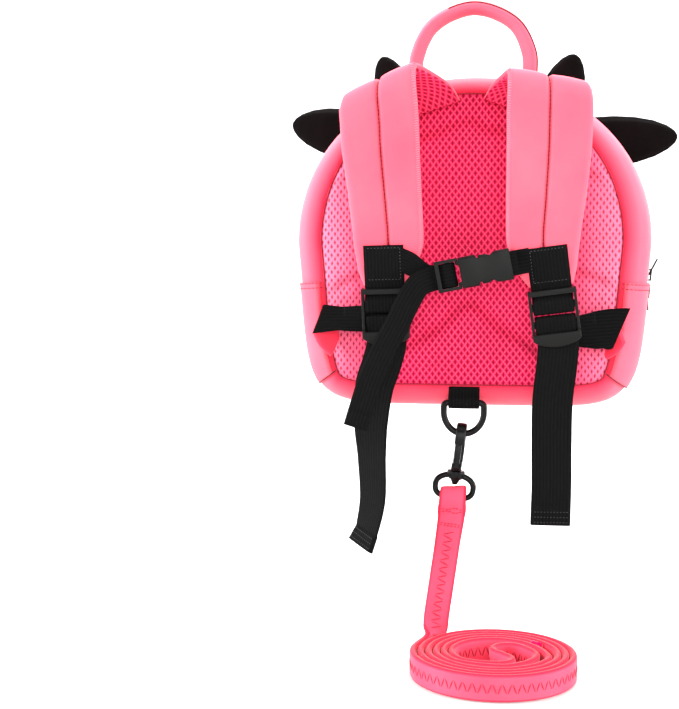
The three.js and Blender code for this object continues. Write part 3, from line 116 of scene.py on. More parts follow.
def looked_up(goals, params, values):
    """Every column of values at the goals."""
    return np.stack([np.interp(goals, params, column) for column in np.asarray(values).T], axis=-1)


def paired(a, b):
    return np.stack(np.broadcast_arrays(a, b), axis=-1)


# Materials


class Nodes:
    """A node tree with short ways to add and join nodes."""

    def __init__(self, name):
        self.material = bpy.data.materials.new(name)
        self.material.use_nodes = True
        self.tree = self.material.node_tree
        self.shader = self.tree.nodes["Principled BSDF"]

    def add(self, kind, **values):
        node = self.tree.nodes.new(kind)
        for key, value in values.items():
            if hasattr(node, key):
                setattr(node, key, value)
            else:
                node.inputs[key.replace("_", " ")].default_value = value
        return node

    def join(self, source, target):
        self.tree.links.new(source, target)

    def math(self, operation, a, b=None):
        node = self.add("ShaderNodeMath", operation=operation)
        for socket, value in zip(node.inputs, (a, b)):
            if value is None:
                continue
            if isinstance(value, (int, float)):
                socket.default_value = value
            else:
                self.join(value, socket)
        return node.outputs[0]

    def times(self, a, b):
        return self.math("MULTIPLY", a, b)

    def plus(self, a, b):
        return self.math("ADD", a, b)

    def mix(self, factor, a, b):
        node = self.add("ShaderNodeMix", data_type="RGBA")
        for socket, value in ((node.inputs[0], factor), (node.inputs[6], a), (node.inputs[7], b)):
            if isinstance(value, (int, float, tuple)):
                socket.default_value = value
            else:
                self.join(value, socket)
        return node.outputs[2]

    def ramp(self, value, low, high):
        node = self.add("ShaderNodeMapRange", clamp=True)
        self.join(value, node.inputs[0])
        node.inputs[1].default_value = low
        node.inputs[2].default_value = high
        return node.outputs[0]

    def noise(self, vector, scale, detail=3.0):
        node = self.add("ShaderNodeTexNoise", Scale=scale, Detail=detail)
        self.join(vector, node.inputs["Vector"])
        return node.outputs["Fac"]

    def bump(self, height, strength, distance):
        node = self.add("ShaderNodeBump", Strength=strength, Distance=distance)
        self.join(height, node.inputs["Height"])
        self.join(node.outputs[0], self.shader.inputs["Normal"])

    def finish(self, colour, **values):
        """Joins the colour and sets the shader's uniform values."""
        self.join(colour, self.shader.inputs["Base Color"])
        for key, value in values.items():
            self.shader.inputs[key.replace("_", " ")].default_value = value

    def place(self):
        return self.add("ShaderNodeTexCoord").outputs["Object"]

    def weave_place(self):
        """Coordinates along and across a piece, in metres, from its UV map."""
        return self.add("ShaderNodeUVMap", uv_map=WEAVE).outputs[0]

    def split(self, vector):
        node = self.add("ShaderNodeSeparateXYZ")
        self.join(vector, node.inputs[0])
        return node.outputs

    def wave(self, value, pitch):
        """A cosine of a coordinate with a pitch in metres."""
        return self.math("COSINE", self.times(value, 2 * math.pi / pitch))


WEAVE = "weave"
# UV map holding the painted shade of the panel's creases
PAINTED_CREASE_SHADE_UV = "pull"


def rgb(r, g, b):
    """A linear colour from sRGB values of 0 to 255."""
    def linear(v):
        v /= 255
        return v / 12.92 if v <= 0.04045 else ((v + 0.055) / 1.055) ** 2.4
    return (linear(r), linear(g), linear(b), 1.0)


# Where a seam's shade and a turned edge's shade start and end, in metres
SEAM_SHADE = (0.0012, 0.0135)
EDGE_SHADE = (0.0062, 0.0076)
KNIT_PITCH = 0.0009


def neoprene(name, colour, deep, bump=0.25, painted_seam_colour=None, turned=None):
    """Knit-faced foam: fine wales, a soft sheen and a slow change of tone. Two optional colours
    paint shade: one beside a seam that lies at the start of the piece's weave, the other on
    the long edges of a band as wide as the leash."""
    m = Nodes(name)
    x, y, _ = m.split(m.weave_place())
    slow = m.noise(m.place(), 22.0, 3.0)
    fine = m.noise(m.place(), 900.0, 2.0)
    base = m.mix(m.ramp(slow, 0.3, 0.75), colour, deep)
    if painted_seam_colour:
        # Painted shade: deeper red-pink beside the seam, with a wandering edge
        wander = m.plus(y, m.times(m.math("SUBTRACT", slow, 0.5), 0.006))
        base = m.mix(m.ramp(wander, *SEAM_SHADE), painted_seam_colour, base)
    if turned:
        # Painted shade: a deeper colour along the band's long edges
        base = m.mix(m.ramp(m.math("ABSOLUTE", x), *EDGE_SHADE), base, turned)
    cell = m.times(m.plus(m.wave(x, KNIT_PITCH), m.wave(y, KNIT_PITCH * 0.8)), 0.25)
    shade = m.ramp(m.plus(cell, fine), 0.0, 1.3)
    m.finish(m.mix(m.times(shade, 0.2), base, deep), Roughness=0.82, Sheen_Weight=0.26,
             Sheen_Roughness=0.3, Sheen_Tint=(1.0, 0.82, 0.77, 1.0), Specular_IOR_Level=0.08)
    m.bump(m.plus(cell, m.times(fine, 0.8)), bump, 0.0002)
    return m.material


# Pitch of the mesh's holes across, and of its rows, in millimetres
MESH_PITCH = 4.0
MESH_ROW = 2.65


def spacer_mesh(name, strand, hole, light, painted_light_from, painted_light_to, quilted=False):
    """Knitted spacer mesh: staggered upright holes between strands that cross in an X.
    The strands and holes get painted light towards the sides, between two given distances on X,
    the strands a painted highlight where they cross, and a quilted piece painted shade in its creases."""
    m = Nodes(name)
    sway = m.add("ShaderNodeTexNoise", Scale=110.0)
    m.join(m.place(), sway.inputs["Vector"])
    drift = m.add("ShaderNodeVectorMath", operation="SCALE", Scale=0.0014)
    m.join(sway.outputs["Color"], drift.inputs[0])
    place = m.add("ShaderNodeVectorMath", operation="ADD")
    m.join(m.weave_place(), place.inputs[0])
    m.join(drift.outputs[0], place.inputs[1])
    x, y, _ = m.split(place.outputs[0])
    column = m.math("DIVIDE", x, MESH_PITCH * MM)
    row = m.math("DIVIDE", y, 2 * MESH_ROW * MM)
    diamond = m.math("MINIMUM", m.wave(m.plus(column, row), 1.0),
                     m.wave(m.math("SUBTRACT", column, row), 1.0))
    upright = m.plus(diamond, m.times(m.wave(x, MESH_PITCH / 2 * MM), 0.3))
    open_share = m.ramp(upright, -0.3, 0.55)
    # Painted highlight where the strands cross
    crossing_highlight = m.ramp(diamond, -0.55, -1.0)
    strands = m.noise(m.place(), 1500.0, 2.0)
    slow = m.noise(m.place(), 30.0, 2.0)
    # Painted side light: paler strands and holes away from the middle on X
    side = m.ramp(m.math("ABSOLUTE", m.split(m.place())[0]), painted_light_from, painted_light_to)
    lit = m.mix(m.math("MAXIMUM", side, m.times(crossing_highlight, 0.36)), strand, light)
    stranded = m.mix(m.times(m.ramp(strands, 0.35, 0.75), 0.35), lit, hole)
    toned = m.mix(m.times(m.ramp(slow, 0.4, 0.8), 0.18), stranded, hole)
    knit = m.mix(open_share, toned, m.mix(m.times(side, 0.14), hole, light))
    # Painted shade in the creases, read from the crease UV map
    if quilted:
        knit = m.mix(m.split(m.add("ShaderNodeUVMap", uv_map=PAINTED_CREASE_SHADE_UV).outputs[0])[0], knit, hole)
    m.finish(knit, Roughness=0.6, Sheen_Weight=0.04, Sheen_Tint=(1.0, 0.8, 0.85, 1.0), Specular_IOR_Level=0.1)
    m.bump(m.math("SUBTRACT", m.times(strands, 0.25), open_share), 0.5, 0.0005)
    return m.material


# Pitch of the webbing's ribs and of its diagonal picks, in metres
RIB_PITCH = 0.0021
PICK_PITCH = 0.0011
PICK_SLOPE = 1.6


def webbing(name, colour, edge):
    """Woven webbing: ribs along the strap crossed by fine diagonal picks."""
    m = Nodes(name)
    x, y, _ = m.split(m.weave_place())
    ribs = m.wave(x, RIB_PITCH)
    slant = m.times(x, PICK_SLOPE)
    picks = m.math("MAXIMUM", m.wave(m.plus(y, slant), PICK_PITCH),
                   m.wave(m.math("SUBTRACT", y, slant), PICK_PITCH))
    fuzz = m.noise(m.place(), 1800.0, 2.0)
    shade = m.ramp(m.plus(m.times(ribs, 0.3), m.times(picks, 0.8)), -0.6, 1.2)
    m.finish(m.mix(m.times(shade, 0.7), colour, edge), Roughness=0.65, Specular_IOR_Level=0.03)
    m.bump(m.plus(m.times(ribs, 0.5), m.plus(m.times(picks, 0.4), fuzz)), 0.5, 0.0003)
    return m.material


def plastic(name, colour, roughness):
    """Moulded plastic or lacquer with a faint orange peel and paler worn patches."""
    m = Nodes(name)
    grain = m.noise(m.place(), 700.0)
    wear = m.ramp(m.noise(m.place(), 90.0), 0.35, 0.8)
    worn = tuple(1.6 * c for c in colour[:3]) + (1.0,)
    m.finish(m.mix(m.times(wear, 0.25), colour, worn), Specular_IOR_Level=0.14)
    m.join(m.plus(roughness, m.times(grain, 0.05)), m.shader.inputs["Roughness"])
    m.bump(grain, 0.03, 0.0001)
    return m.material


def stretch_cloth(name, colour, light):
    """Smooth black stretch cloth over padding."""
    m = Nodes(name)
    tone = m.ramp(m.noise(m.place(), 60.0), 0.35, 0.8)
    m.finish(m.mix(tone, colour, light), Roughness=0.8, Sheen_Weight=0.02, Specular_IOR_Level=0.03)
    m.bump(m.noise(m.place(), 1300.0, 2.0), 0.3, 0.0002)
    return m.material


def thread(name, colour, other):
    """Twisted sewing thread in two tones."""
    m = Nodes(name)
    twist = m.noise(m.place(), 2500.0, 2.0)
    m.finish(m.mix(m.ramp(twist, 0.3, 0.7), colour, other), Roughness=0.6, Specular_IOR_Level=0.3)
    m.bump(twist, 0.4, 0.0001)
    return m.material


PINK = neoprene("neoprene", rgb(243, 93, 110), rgb(238, 78, 98), bump=0.4)
# The gusset's deep red-pink beside the panel seam is painted shade
GUSSET_PINK = neoprene("gusset_neoprene", rgb(243, 96, 113), rgb(238, 82, 101), painted_seam_colour=rgb(228, 38, 66))
# The tabs use a deeper copy of the neoprene: painted shade over the whole tab
SHADED_TAB_PINK = neoprene("tab_neoprene_painted_shade", rgb(238, 62, 84), rgb(226, 38, 62))
# The leash's deeper long edges are painted shade
LEASH_PINK = neoprene("leash_neoprene", rgb(241, 84, 108), rgb(234, 66, 92), bump=0.35,
                      turned=rgb(206, 36, 62))
# Painted light on the panel's sides past 52 mm on X; the strap mesh's starts past 200 mm, beyond its width
PANEL_MESH = spacer_mesh("panel_mesh", rgb(226, 16, 78), rgb(138, 0, 32), rgb(240, 112, 142), 0.052, 0.086,
                         quilted=True)
STRAP_MESH = spacer_mesh("strap_mesh", rgb(222, 20, 72), rgb(136, 0, 30), rgb(238, 100, 130), 0.2, 0.3)
WEBBING = webbing("webbing", rgb(2, 2, 2), rgb(22, 22, 22))
PLASTIC = plastic("black_plastic", rgb(11, 11, 10), 0.42)
METAL = plastic("black_lacquer", rgb(7, 7, 7), 0.28)
HORN = stretch_cloth("horn_cloth", rgb(6, 4, 4), rgb(10, 7, 7))
SEAM = thread("seam_thread", rgb(104, 10, 28), rgb(84, 8, 22))
# Thread-like dark red for the line of painted shade in the panel's seam valley
SEAM_SHADE_LINE = thread("seam_shade_line", rgb(178, 26, 54), rgb(140, 14, 38))
PALE_THREAD = thread("pale_thread", rgb(236, 132, 150), rgb(214, 92, 112))
LEASH_THREAD = thread("leash_thread", rgb(170, 14, 48), rgb(140, 8, 36))
BLACK_THREAD = thread("black_thread", rgb(26, 26, 28), rgb(48, 48, 50))
WHITE_THREAD = thread("white_thread", rgb(48, 46, 48), rgb(88, 84, 86))
HOT_PINK = neoprene("leash_end", rgb(240, 6, 84), rgb(226, 2, 70))

# Meshes


def build(name, verts, faces, uvs=None):
    """A mesh object from points in millimetres. uvs holds one (across, along) a point."""
    mesh = bpy.data.meshes.new(name)
    mesh.from_pydata((np.asarray(verts, dtype=float) * MM).tolist(), [], faces)
    layer = mesh.uv_layers.new(name=WEAVE)
    if uvs is not None:
        put_uvs(mesh, layer, np.asarray(uvs, dtype=float) * MM)
    for polygon in mesh.polygons:
        polygon.use_smooth = True
    mesh.validate()
    obj = bpy.data.objects.new(name, mesh)
    bpy.context.scene.collection.objects.link(obj)
    outward(obj)
    return obj


def put_uvs(mesh, layer, values):
    """Writes one pair of values a point into a UV layer."""
    loops = np.empty(len(mesh.loops), dtype=np.int64)
    mesh.loops.foreach_get("vertex_index", loops)
    layer.data.foreach_set("uv", values[loops].ravel())


def reworked(mesh, work_on):
    """Runs a change on a mesh through bmesh."""
    work = bmesh.new()
    work.from_mesh(mesh)
    work_on(work)
    work.to_mesh(mesh)
    work.free()


def outward(obj):
    reworked(obj.data, lambda work: bmesh.ops.recalc_face_normals(work, faces=work.faces))


def dress(obj, material, body="bag", replaces=()):
    """Gives a piece its material and the body that it rides on, and hides the CAD parts it replaces."""
    obj.data.materials.clear()
    obj.data.materials.append(material)
    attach(obj, body)
    if replaces:
        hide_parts(*replaces)
    return obj


def skin(name, rings, loop=False, uvs=None):
    """A closed body through rings of points; rings is (count, around, 3)."""
    rings = np.asarray(rings, dtype=float)
    count, around = rings.shape[:2]
    faces = []
    for i in range(count if loop else count - 1):
        here = i * around
        after = ((i + 1) % count) * around
        for j in range(around):
            k = (j + 1) % around
            faces.append((here + j, here + k, after + k, after + j))
    if not loop:
        faces.append(tuple(range(around)))
        faces.append(tuple((count - 1) * around + j for j in reversed(range(around))))
    flat_uvs = None if uvs is None else np.asarray(uvs, dtype=float).reshape(-1, 2)
    return build(name, rings.reshape(-1, 3), faces, flat_uvs)


def crease(obj, degrees):
    """Keeps edges sharper than an angle hard under smooth shading."""
    def harden(work):
        for edge in work.edges:
            edge.smooth = len(edge.link_faces) != 2 or edge.calc_face_angle() < rad(degrees)
    reworked(obj.data, harden)


def joined(name, parts):
    """Puts several (verts, faces) lists into one mesh."""
    verts = []
    faces = []
    for part_verts, part_faces in parts:
        start = len(verts)
        verts.extend(part_verts)
        faces.extend([tuple(start + i for i in face) for face in part_faces])
    return build(name, verts, faces)


# A stitch: share of its length, share of its radius and how far it is lifted, in radii
STITCH_ROWS = ((0.0, 0.35, -0.9), (0.18, 0.9, 0.0), (0.5, 1.0, 0.35), (0.82, 0.9, 0.0), (1.0, 0.35, -0.9))
STITCH_SIDES = 6


def thread_bit(start, end, out, radius):
    """One stitch: a short rounded bar that dips at both ends. Gives (verts, faces)."""
    along = unit(end - start)
    across = unit(np.cross(along, out))
    up = np.cross(across, along)
    verts = []
    for share, wide, lift in STITCH_ROWS:
        centre = lerp(start, end, share) + up * lift * radius
        for k in range(STITCH_SIDES):
            turn = 2 * math.pi * k / STITCH_SIDES
            verts.append(centre + across * math.cos(turn) * radius * wide
                         + up * math.sin(turn) * radius * wide)
    last = (len(STITCH_ROWS) - 1) * STITCH_SIDES
    faces = []
    for row in range(0, last, STITCH_SIDES):
        for k in range(STITCH_SIDES):
            n = (k + 1) % STITCH_SIDES
            faces.append((row + k, row + n, row + STITCH_SIDES + n, row + STITCH_SIDES + k))
    faces.append(tuple(reversed(range(STITCH_SIDES))))
    faces.append(tuple(last + k for k in range(STITCH_SIDES)))
    return verts, faces


# Runs of stations: dictionaries of arrays with the middle line and its directions


def knot(at, across, width=1, thick=1):
    """One row that a run passes through."""
    return {"at": at, "across": across, "width": width, "thick": thick}


def curve_through(points, fine):
    """Centripetal Catmull-Rom through points: (places, parameter) at fine steps a span."""
    points = np.asarray(points, dtype=float)
    padded = np.vstack([2 * points[0] - points[1], points, 2 * points[-1] - points[-2]])
    places = []
    params = []
    for i in range(len(points) - 1):
        p0, p1, p2, p3 = padded[i:i + 4]
        d0, d1, d2 = (max(np.linalg.norm(b - a) ** 0.5, 1e-6) for a, b in ((p0, p1), (p1, p2), (p2, p3)))
        t1 = ((p1 - p0) / d0 - (p2 - p0) / (d0 + d1) + (p2 - p1) / d1) * d1
        t2 = ((p2 - p1) / d1 - (p3 - p1) / (d1 + d2) + (p3 - p2) / d2) * d1
        last = i == len(points) - 2
        for t in np.linspace(0, 1, fine + (1 if last else 0), endpoint=last):
            places.append(p1 + t1 * t + (-3 * p1 + 3 * p2 - 2 * t1 - t2) * t ** 2
                          + (2 * p1 - 2 * p2 + t1 + t2) * t ** 3)
            params.append(i + t)
    return np.array(places), np.array(params)


def run_through(rows, count, shares=(), folded=False):
    """Evenly spaced stations on a smooth run through knots. The first stations, up to knot
    number folded, keep their direction across as it is given."""
    places, params = curve_through([row["at"] for row in rows], 40)
    lengths = lengths_of(places)
    goals = np.linspace(0, lengths[-1], count)
    param = np.interp(goals, lengths, params)
    low = np.minimum(param.astype(int), len(rows) - 2)
    share = param - low
    across = np.array([row["across"] for row in rows])
    station = {"at": looked_up(goals, lengths, places), "s": goals,
               "across": unit_rows(lerp(across[low], across[low + 1], share[:, None])),
               "folded": param < (len(rows) if folded is True else folded)}
    for name in shares:
        values = np.array([row[name] for row in rows], dtype=float)
        station[name] = lerp(values[low], values[low + 1], share)
    return aimed(station)


def aimed(station):
    """Adds the directions along and out of a run to its stations."""
    along = unit_rows(np.gradient(station["at"], axis=0))
    across = station["across"]
    square = unit_rows(across - along * np.sum(across * along, axis=1)[:, None])
    across = np.where(np.broadcast_to(station["folded"], len(along))[:, None], across, square)
    return {**station, "along": along, "across": across, "out": unit_rows(np.cross(along, across))}


def shifted(station, distance):
    return aimed({**station, "at": station["at"] + station["out"] * distance})


def strip(name, station, section):
    """A body along a run. section(i) gives points [across, out] for station i."""
    rings = []
    uvs = []
    for i in range(len(station["at"])):
        flat = np.asarray(section(i))
        rings.append(station["at"][i] + flat[:, :1] * station["across"][i] + flat[:, 1:] * station["out"][i])
        uvs.append(np.stack([flat[:, 0], np.full(len(flat), station["s"][i])], axis=1))
    return skin(name, rings, uvs=uvs)


def rounded_section(width, thickness, across_count=10, bulge=0.0, edge=3):
    """A flat section with round edges, and faces that bulge by a share of the thickness."""
    w = width / 2
    t = thickness / 2
    radius = min(t, w) * 0.96
    points = []
    for side in (1, -1):
        for x in np.linspace(-w + radius, w - radius, across_count):
            points.append([side * x, side * (t + bulge * thickness * (1 - (x / w) ** 2))])
        for k in range(1, edge + 1):
            turn = math.pi * k / (edge + 1)
            points.append([side * (w - radius + radius * math.sin(turn)), side * t * math.cos(turn)])
    return np.array(points)


def on_run(run, s, across, lift):
    """A point on a run at a length along it, with the directions along and out there."""
    at, aside, out, along = (looked_up(s, run["s"], run[key]) for key in ("at", "across", "out", "along"))
    return at + aside * across + out * lift, along, out


def stitch_ends(length, stitch, gap):
    """Start and end of every stitch that fits a length."""
    count = max(1, round(length / (stitch + gap)))
    pitch = length / count
    return [(k * pitch + gap / 2, (k + 1) * pitch - gap / 2) for k in range(count)]


def sew(run, path, lift, stitch, gap, radius):
    """Stitches along a path of (length along, place across) on a run's face."""
    lengths = lengths_of(path)
    parts = []
    for reaches in stitch_ends(lengths[-1], stitch, gap):
        start, end = (on_run(run, *looked_up(reach, lengths, path), lift) for reach in reaches)
        parts.append(thread_bit(start[0], end[0], start[2], radius))
    return parts


def sewn_line(points, outs, stitch, gap, radius):
    """Stitches along a line of points, each with its direction out of the cloth."""
    lengths = lengths_of(points)
    parts = []
    for reaches in stitch_ends(lengths[-1], stitch, gap):
        start, end = (looked_up(reach, lengths, points) for reach in reaches)
        parts.append(thread_bit(start, end, unit(looked_up(reaches[0], lengths, outs)), radius))
    return parts


def tube(name, points, radius, closed=False, sides=8):
    """A thin round piece through points."""
    if closed:
        along = np.roll(points, -1, axis=0) - np.roll(points, 1, axis=0)
    else:
        along = np.gradient(points, axis=0)
    along = unit_rows(along)
    upright = np.abs(along[:, 1:2]) < 0.9
    guide = unit_rows(np.cross(along, np.where(upright, [[0.0, 1.0, 0.0]], [[1.0, 0.0, 0.0]])))
    other = np.cross(along, guide)
    turn = (2 * math.pi * np.arange(sides) / sides)[None, :, None]
    rings = points[:, None] + radius * (guide[:, None] * np.cos(turn) + other[:, None] * np.sin(turn))
    return skin(name, rings, loop=closed)


# Body outline: a round upper half and a squarer, slightly tapered lower half
UPPER_EXPONENT = 2.08
LOWER_EXPONENT = 7
LOWER_TAPER = 0.08
AROUND = 360
FINE_AROUND = 1440


def outline(count):
    """Stations spaced evenly round the outline from the middle of the top, clockwise:
    columns are x, z and the outward normal's x and z."""
    half = BODY_TAIL / 2
    turn = np.linspace(0, 2 * math.pi, FINE_AROUND, endpoint=False)
    c, s = np.cos(turn), np.sin(turn)
    exponent = np.where(c >= 0, UPPER_EXPONENT, LOWER_EXPONENT)
    reach = (np.abs(s) ** exponent + np.abs(c) ** exponent) ** (-1 / exponent)
    down = np.maximum(0, -c) * reach
    places = np.stack([HALF_WIDTH * s * reach * (1 - LOWER_TAPER * down),
                       -(BODY_TOP + half) + half * c * reach], axis=1)
    closed = np.vstack([places, places[:1]])
    lengths = lengths_of(closed)
    goals = lengths[-1] * np.arange(count) / count
    at = looked_up(goals, lengths, closed)
    span = unit_rows(np.roll(at, -1, axis=0) - np.roll(at, 1, axis=0))
    normal = np.stack([-span[:, 1], span[:, 0]], axis=1)
    inward = normal[:, 0] * at[:, 0] + normal[:, 1] * (at[:, 1] - BODY_MIDDLE) < 0
    normal[inward] *= -1
    return np.hstack([at, normal]), goals


def seam_inset(station):
    ends = np.where(station[:, 3] > 0, SEAM_INSET["top"], SEAM_INSET["bottom"])
    return SEAM_INSET["side"] * station[:, 2] ** 2 + ends * station[:, 3] ** 2


def at_station(station, inset, y):
    """Points at an inset from the outline and a depth, for every station."""
    return np.stack([station[:, 0] - station[:, 2] * inset, np.broadcast_to(y, len(station)),
                     station[:, 1] - station[:, 3] * inset], axis=1)


def towards_middle(ring, share, y):
    """A ring of points drawn in towards the body's middle, at a depth."""
    return np.stack([ring[:, 0] * share, np.full(len(ring), y), lerp(BODY_MIDDLE, ring[:, 2], share)], axis=1)


# Least share of the outward normal that points sideways on the body's side
SIDE_FACING = 0.25


def side_stations(side):
    """The fine stations down one side of the body."""
    fine, _ = outline(FINE_AROUND)
    return fine[(np.sign(fine[:, 0]) == side) & (fine[:, 2] * side > SIDE_FACING)]


ring_stations, ring_lengths = outline(AROUND)
ring_seam = seam_inset(ring_stations)

# Gusset: its outer face from the back seam to the zip. Columns: inset as a share of the
# seam's inset, depth as a share of the gusset's depth, and how far it is puckered
GUSSET_ROWS = [
    (1.0, 0.0, 0.2), (0.93, -0.012, 1.0), (0.82, -0.012, 0.9), (0.68, 0.0, 0.5), (0.52, 0.024, 0.2),
    (0.38, 0.06, 0.0), (0.25, 0.115, 0.0), (0.14, 0.19, 0.0), (0.06, 0.29, 0.0), (0.01, 0.42, 0.0),
    (0.0, 0.55, 0.0), (0.0, 0.68, 0.0), (0.0, 0.8, 0.0),
]
GUSSET_WALL = 3.0
GUSSET_REACH = 17.0


def gusset_face(station, deep, out=0.0):
    """Rows of points of the gusset's outer face, moved out by a distance."""
    rows = []
    flat = [(inset, depth * GUSSET_DEPTH) for inset, depth, _ in GUSSET_ROWS]
    for k, (inset, y) in enumerate(flat):
        low = flat[max(0, k - 1)]
        high = flat[min(len(flat) - 1, k + 1)]
        di = (high[0] - low[0]) * GUSSET_REACH
        dy = high[1] - low[1]
        move = out / math.hypot(di, dy)
        rows.append(at_station(station, inset * deep - dy * move, BACK_SEAM + y + di * move))
    rows.append(at_station(station, np.full(len(station), ZIP_INSET - out), ZIP_SEAM))
    return rows


def make_gusset():
    outer = gusset_face(ring_stations, ring_seam)
    pucker = 0.35 * np.sin(ring_lengths / 2.6) * (0.6 + 0.4 * np.sin(ring_lengths / 31.0))
    sway = 0.5 * np.sin(ring_lengths / 23.0 + 0.7) + 0.3 * np.sin(ring_lengths / 11.0)
    for row, (_, _, share) in zip(outer, GUSSET_ROWS):
        row[:, 1] -= share * (pucker + 0.35 * sway)
    inner = [at_station(ring_stations, inset, y) for inset, y in (
        (ZIP_INSET + GUSSET_WALL, ZIP_SEAM), (GUSSET_WALL, BACK_SEAM + 0.5 * GUSSET_DEPTH),
        (GUSSET_WALL + 4.0, BACK_SEAM + 10.0), (ring_seam, BACK_SEAM + GUSSET_WALL))]
    rings = np.stack(outer + inner, axis=1)
    uvs = paired(ring_lengths[:, None], lengths_of(rings[AROUND // 4]))
    return skin("bag_gusset", rings, loop=True, uvs=uvs)


dress(make_gusset(), GUSSET_PINK, replaces=["gusset"])

# Padded mesh panel: share of its outline, and how far it stands out
PANEL_ROWS = [(1.0, 0.0), (0.985, 0.16), (0.96, 0.27), (0.93, 0.36), (0.8, 0.66), (0.56, 0.92), (0.25, 1.0),
              (0.0, 1.0)]

# Creases of the quilted padding: polylines in X and Z, each with its depth and half width
PANEL_CREASES = [
    (1.5, 2.6, [(-33.0, -80.6), (-22.5, -77.5), (-9.5, -71.0), (0.0, -69.0), (9.8, -74.0), (19.0, -75.3)]),
    (1.4, 2.8, [(-93.0, -112.0), (-78.0, -102.5), (-60.0, -92.0), (-33.0, -80.6)]),
    (1.4, 2.8, [(90.0, -110.0), (70.0, -101.0), (48.0, -90.0), (19.0, -75.3)]),
    (1.5, 3.0, [(-92.0, -176.0), (-70.0, -166.0), (-45.0, -160.0)]),
    (1.5, 3.0, [(92.0, -172.0), (66.0, -163.0), (42.0, -160.0)]),
    (1.7, 3.4, [(-58.0, -226.0), (-34.0, -206.0), (-20.0, -197.0), (0.0, -182.0), (20.0, -197.0),
                (36.0, -206.0), (58.0, -226.0)]),
]
CREASE_PULL = 1.5
# Share of a crease's pull painted into the mesh's colour as shade
CREASE_SHADE = 0.09


def crease_depth(x, z):
    """How far the quilting pulls the panel in at places x, z."""
    total = np.zeros_like(x)
    for depth, width, line in PANEL_CREASES:
        fine = curve_through([(px, 0.0, pz) for px, pz in line], 12)[0]
        near = np.full_like(x, 1e9)
        for a, b in zip(fine[:-1], fine[1:]):
            d = np.array([b[0] - a[0], b[2] - a[2]])
            t = np.clip(((x - a[0]) * d[0] + (z - a[2]) * d[1]) / (d @ d), 0, 1)
            near = np.minimum(near, np.hypot(x - a[0] - t * d[0], z - a[2] - t * d[1]))
        total = np.maximum(total, CREASE_PULL * depth * bell(near, 0, width))
    return total


def make_panel():
    rim = at_station(ring_stations, ring_seam + GAP, 0.0)
    crease_shades = [np.zeros(AROUND)] * 3
    table = np.array(PANEL_ROWS)[::-1]
    edge = BACK_SEAM + PANEL_EDGE
    rings = [towards_middle(rim, share, y) for share, y in ((0.3, edge), (0.96, edge), (1.0, edge - 1.5))]
    for share in np.concatenate([np.linspace(1.0, 0.93, 5), np.linspace(0.92, 0.015, 74)]):
        out = np.interp(share, table[:, 0], table[:, 1]) * PANEL_BULGE
        ring = towards_middle(rim, share, BACK_SEAM - out)
        x, z = ring[:, 0], ring[:, 2]
        fade = smoothstep(1 - share, 0.02, 0.12)
        pull = fade * crease_depth(x, z)
        ring[:, 1] += pull + fade * 0.35 * np.sin(x / 17.0 + 0.5) * np.sin(z / 21.0)
        rings.append(ring)
        # Painted crease shade for this ring
        crease_shades.append(pull * CREASE_SHADE)
    rings = np.array(rings)
    panel = skin("bag_panel", rings, uvs=rings[:, :, [0, 2]])
    put_uvs(panel.data, panel.data.uv_layers.new(name=PAINTED_CREASE_SHADE_UV), paired(np.ravel(crease_shades), 0.0))
    return panel


dress(make_panel(), PANEL_MESH, replaces=["back_panel"])

# Zip: tape, then the coil's teeth
ZIP_WIDTH = 9.0
COIL_WIDTH = 3.6
COIL_HEIGHT = 1.3
TOOTH_PITCH = 1.5
FRONT_RIM = ZIP_SEAM + ZIP_WIDTH + 2 * GAP


def make_zip():
    back = ZIP_SEAM + GAP
    rows = [(0.0, back), (-0.25, back + 0.8), (-0.25, back + 2.2), (0.25, back + 2.6), (0.25, back + 6.4),
            (-0.25, back + 6.8), (-0.25, back + 8.2), (0.0, back + ZIP_WIDTH), (1.4, back + ZIP_WIDTH),
            (1.4, back)]
    rings = np.stack([at_station(ring_stations, ZIP_INSET + inset, y) for inset, y in rows], axis=1)
    across = np.array([y for _, y in rows])
    return skin("bag_zip_tape", rings, loop=True, uvs=paired(across[None, :], ring_lengths[:, None]))


def make_teeth():
    stations, lengths = outline(2 * round(ring_lengths[-1] / TOOTH_PITCH / 2))
    middle = ZIP_SEAM + GAP + ZIP_WIDTH / 2
    parts = []
    for k, station in enumerate(stations):
        out = vec(station[2], 0, station[3])
        run = vec(-station[3], 0, station[2])
        lean = 0.45 if k % 2 else -0.45
        centre = vec(station[0], middle, station[1]) - out * (ZIP_INSET - 0.45 * COIL_HEIGHT)
        ends = [centre + vec(0, side * COIL_WIDTH / 2, 0) + run * lean * side for side in (-1, 1)]
        parts.append(thread_bit(ends[0], ends[1], out, 0.62))
    return joined("bag_zip_coil", parts)


dress(make_zip(), WEBBING, replaces=["zip_tape"])
dress(make_teeth(), PLASTIC)

# Front: a soft cap whose side turns over into a domed face, with a seam round the dome
FRONT_DEPTH = 18.0
FRONT_ROUNDING = 19.0
FRONT_DOME = 6.0
FRONT_WALL = 3.0
FRONT_ROWS = [(0.0, 0.0), (0.0, 0.1), (0.04, 0.3), (0.1, 0.47), (0.2, 0.62), (0.34, 0.77), (0.52, 0.88),
              (0.74, 0.955), (1.0, 1.0)]
DOME_ROWS = [(0.955, 0.13), (0.9, 0.27), (0.82, 0.45), (0.7, 0.64), (0.6, 0.76), (0.5, 0.85), (0.36, 0.93),
             (0.2, 0.98), (0.04, 1.0)]


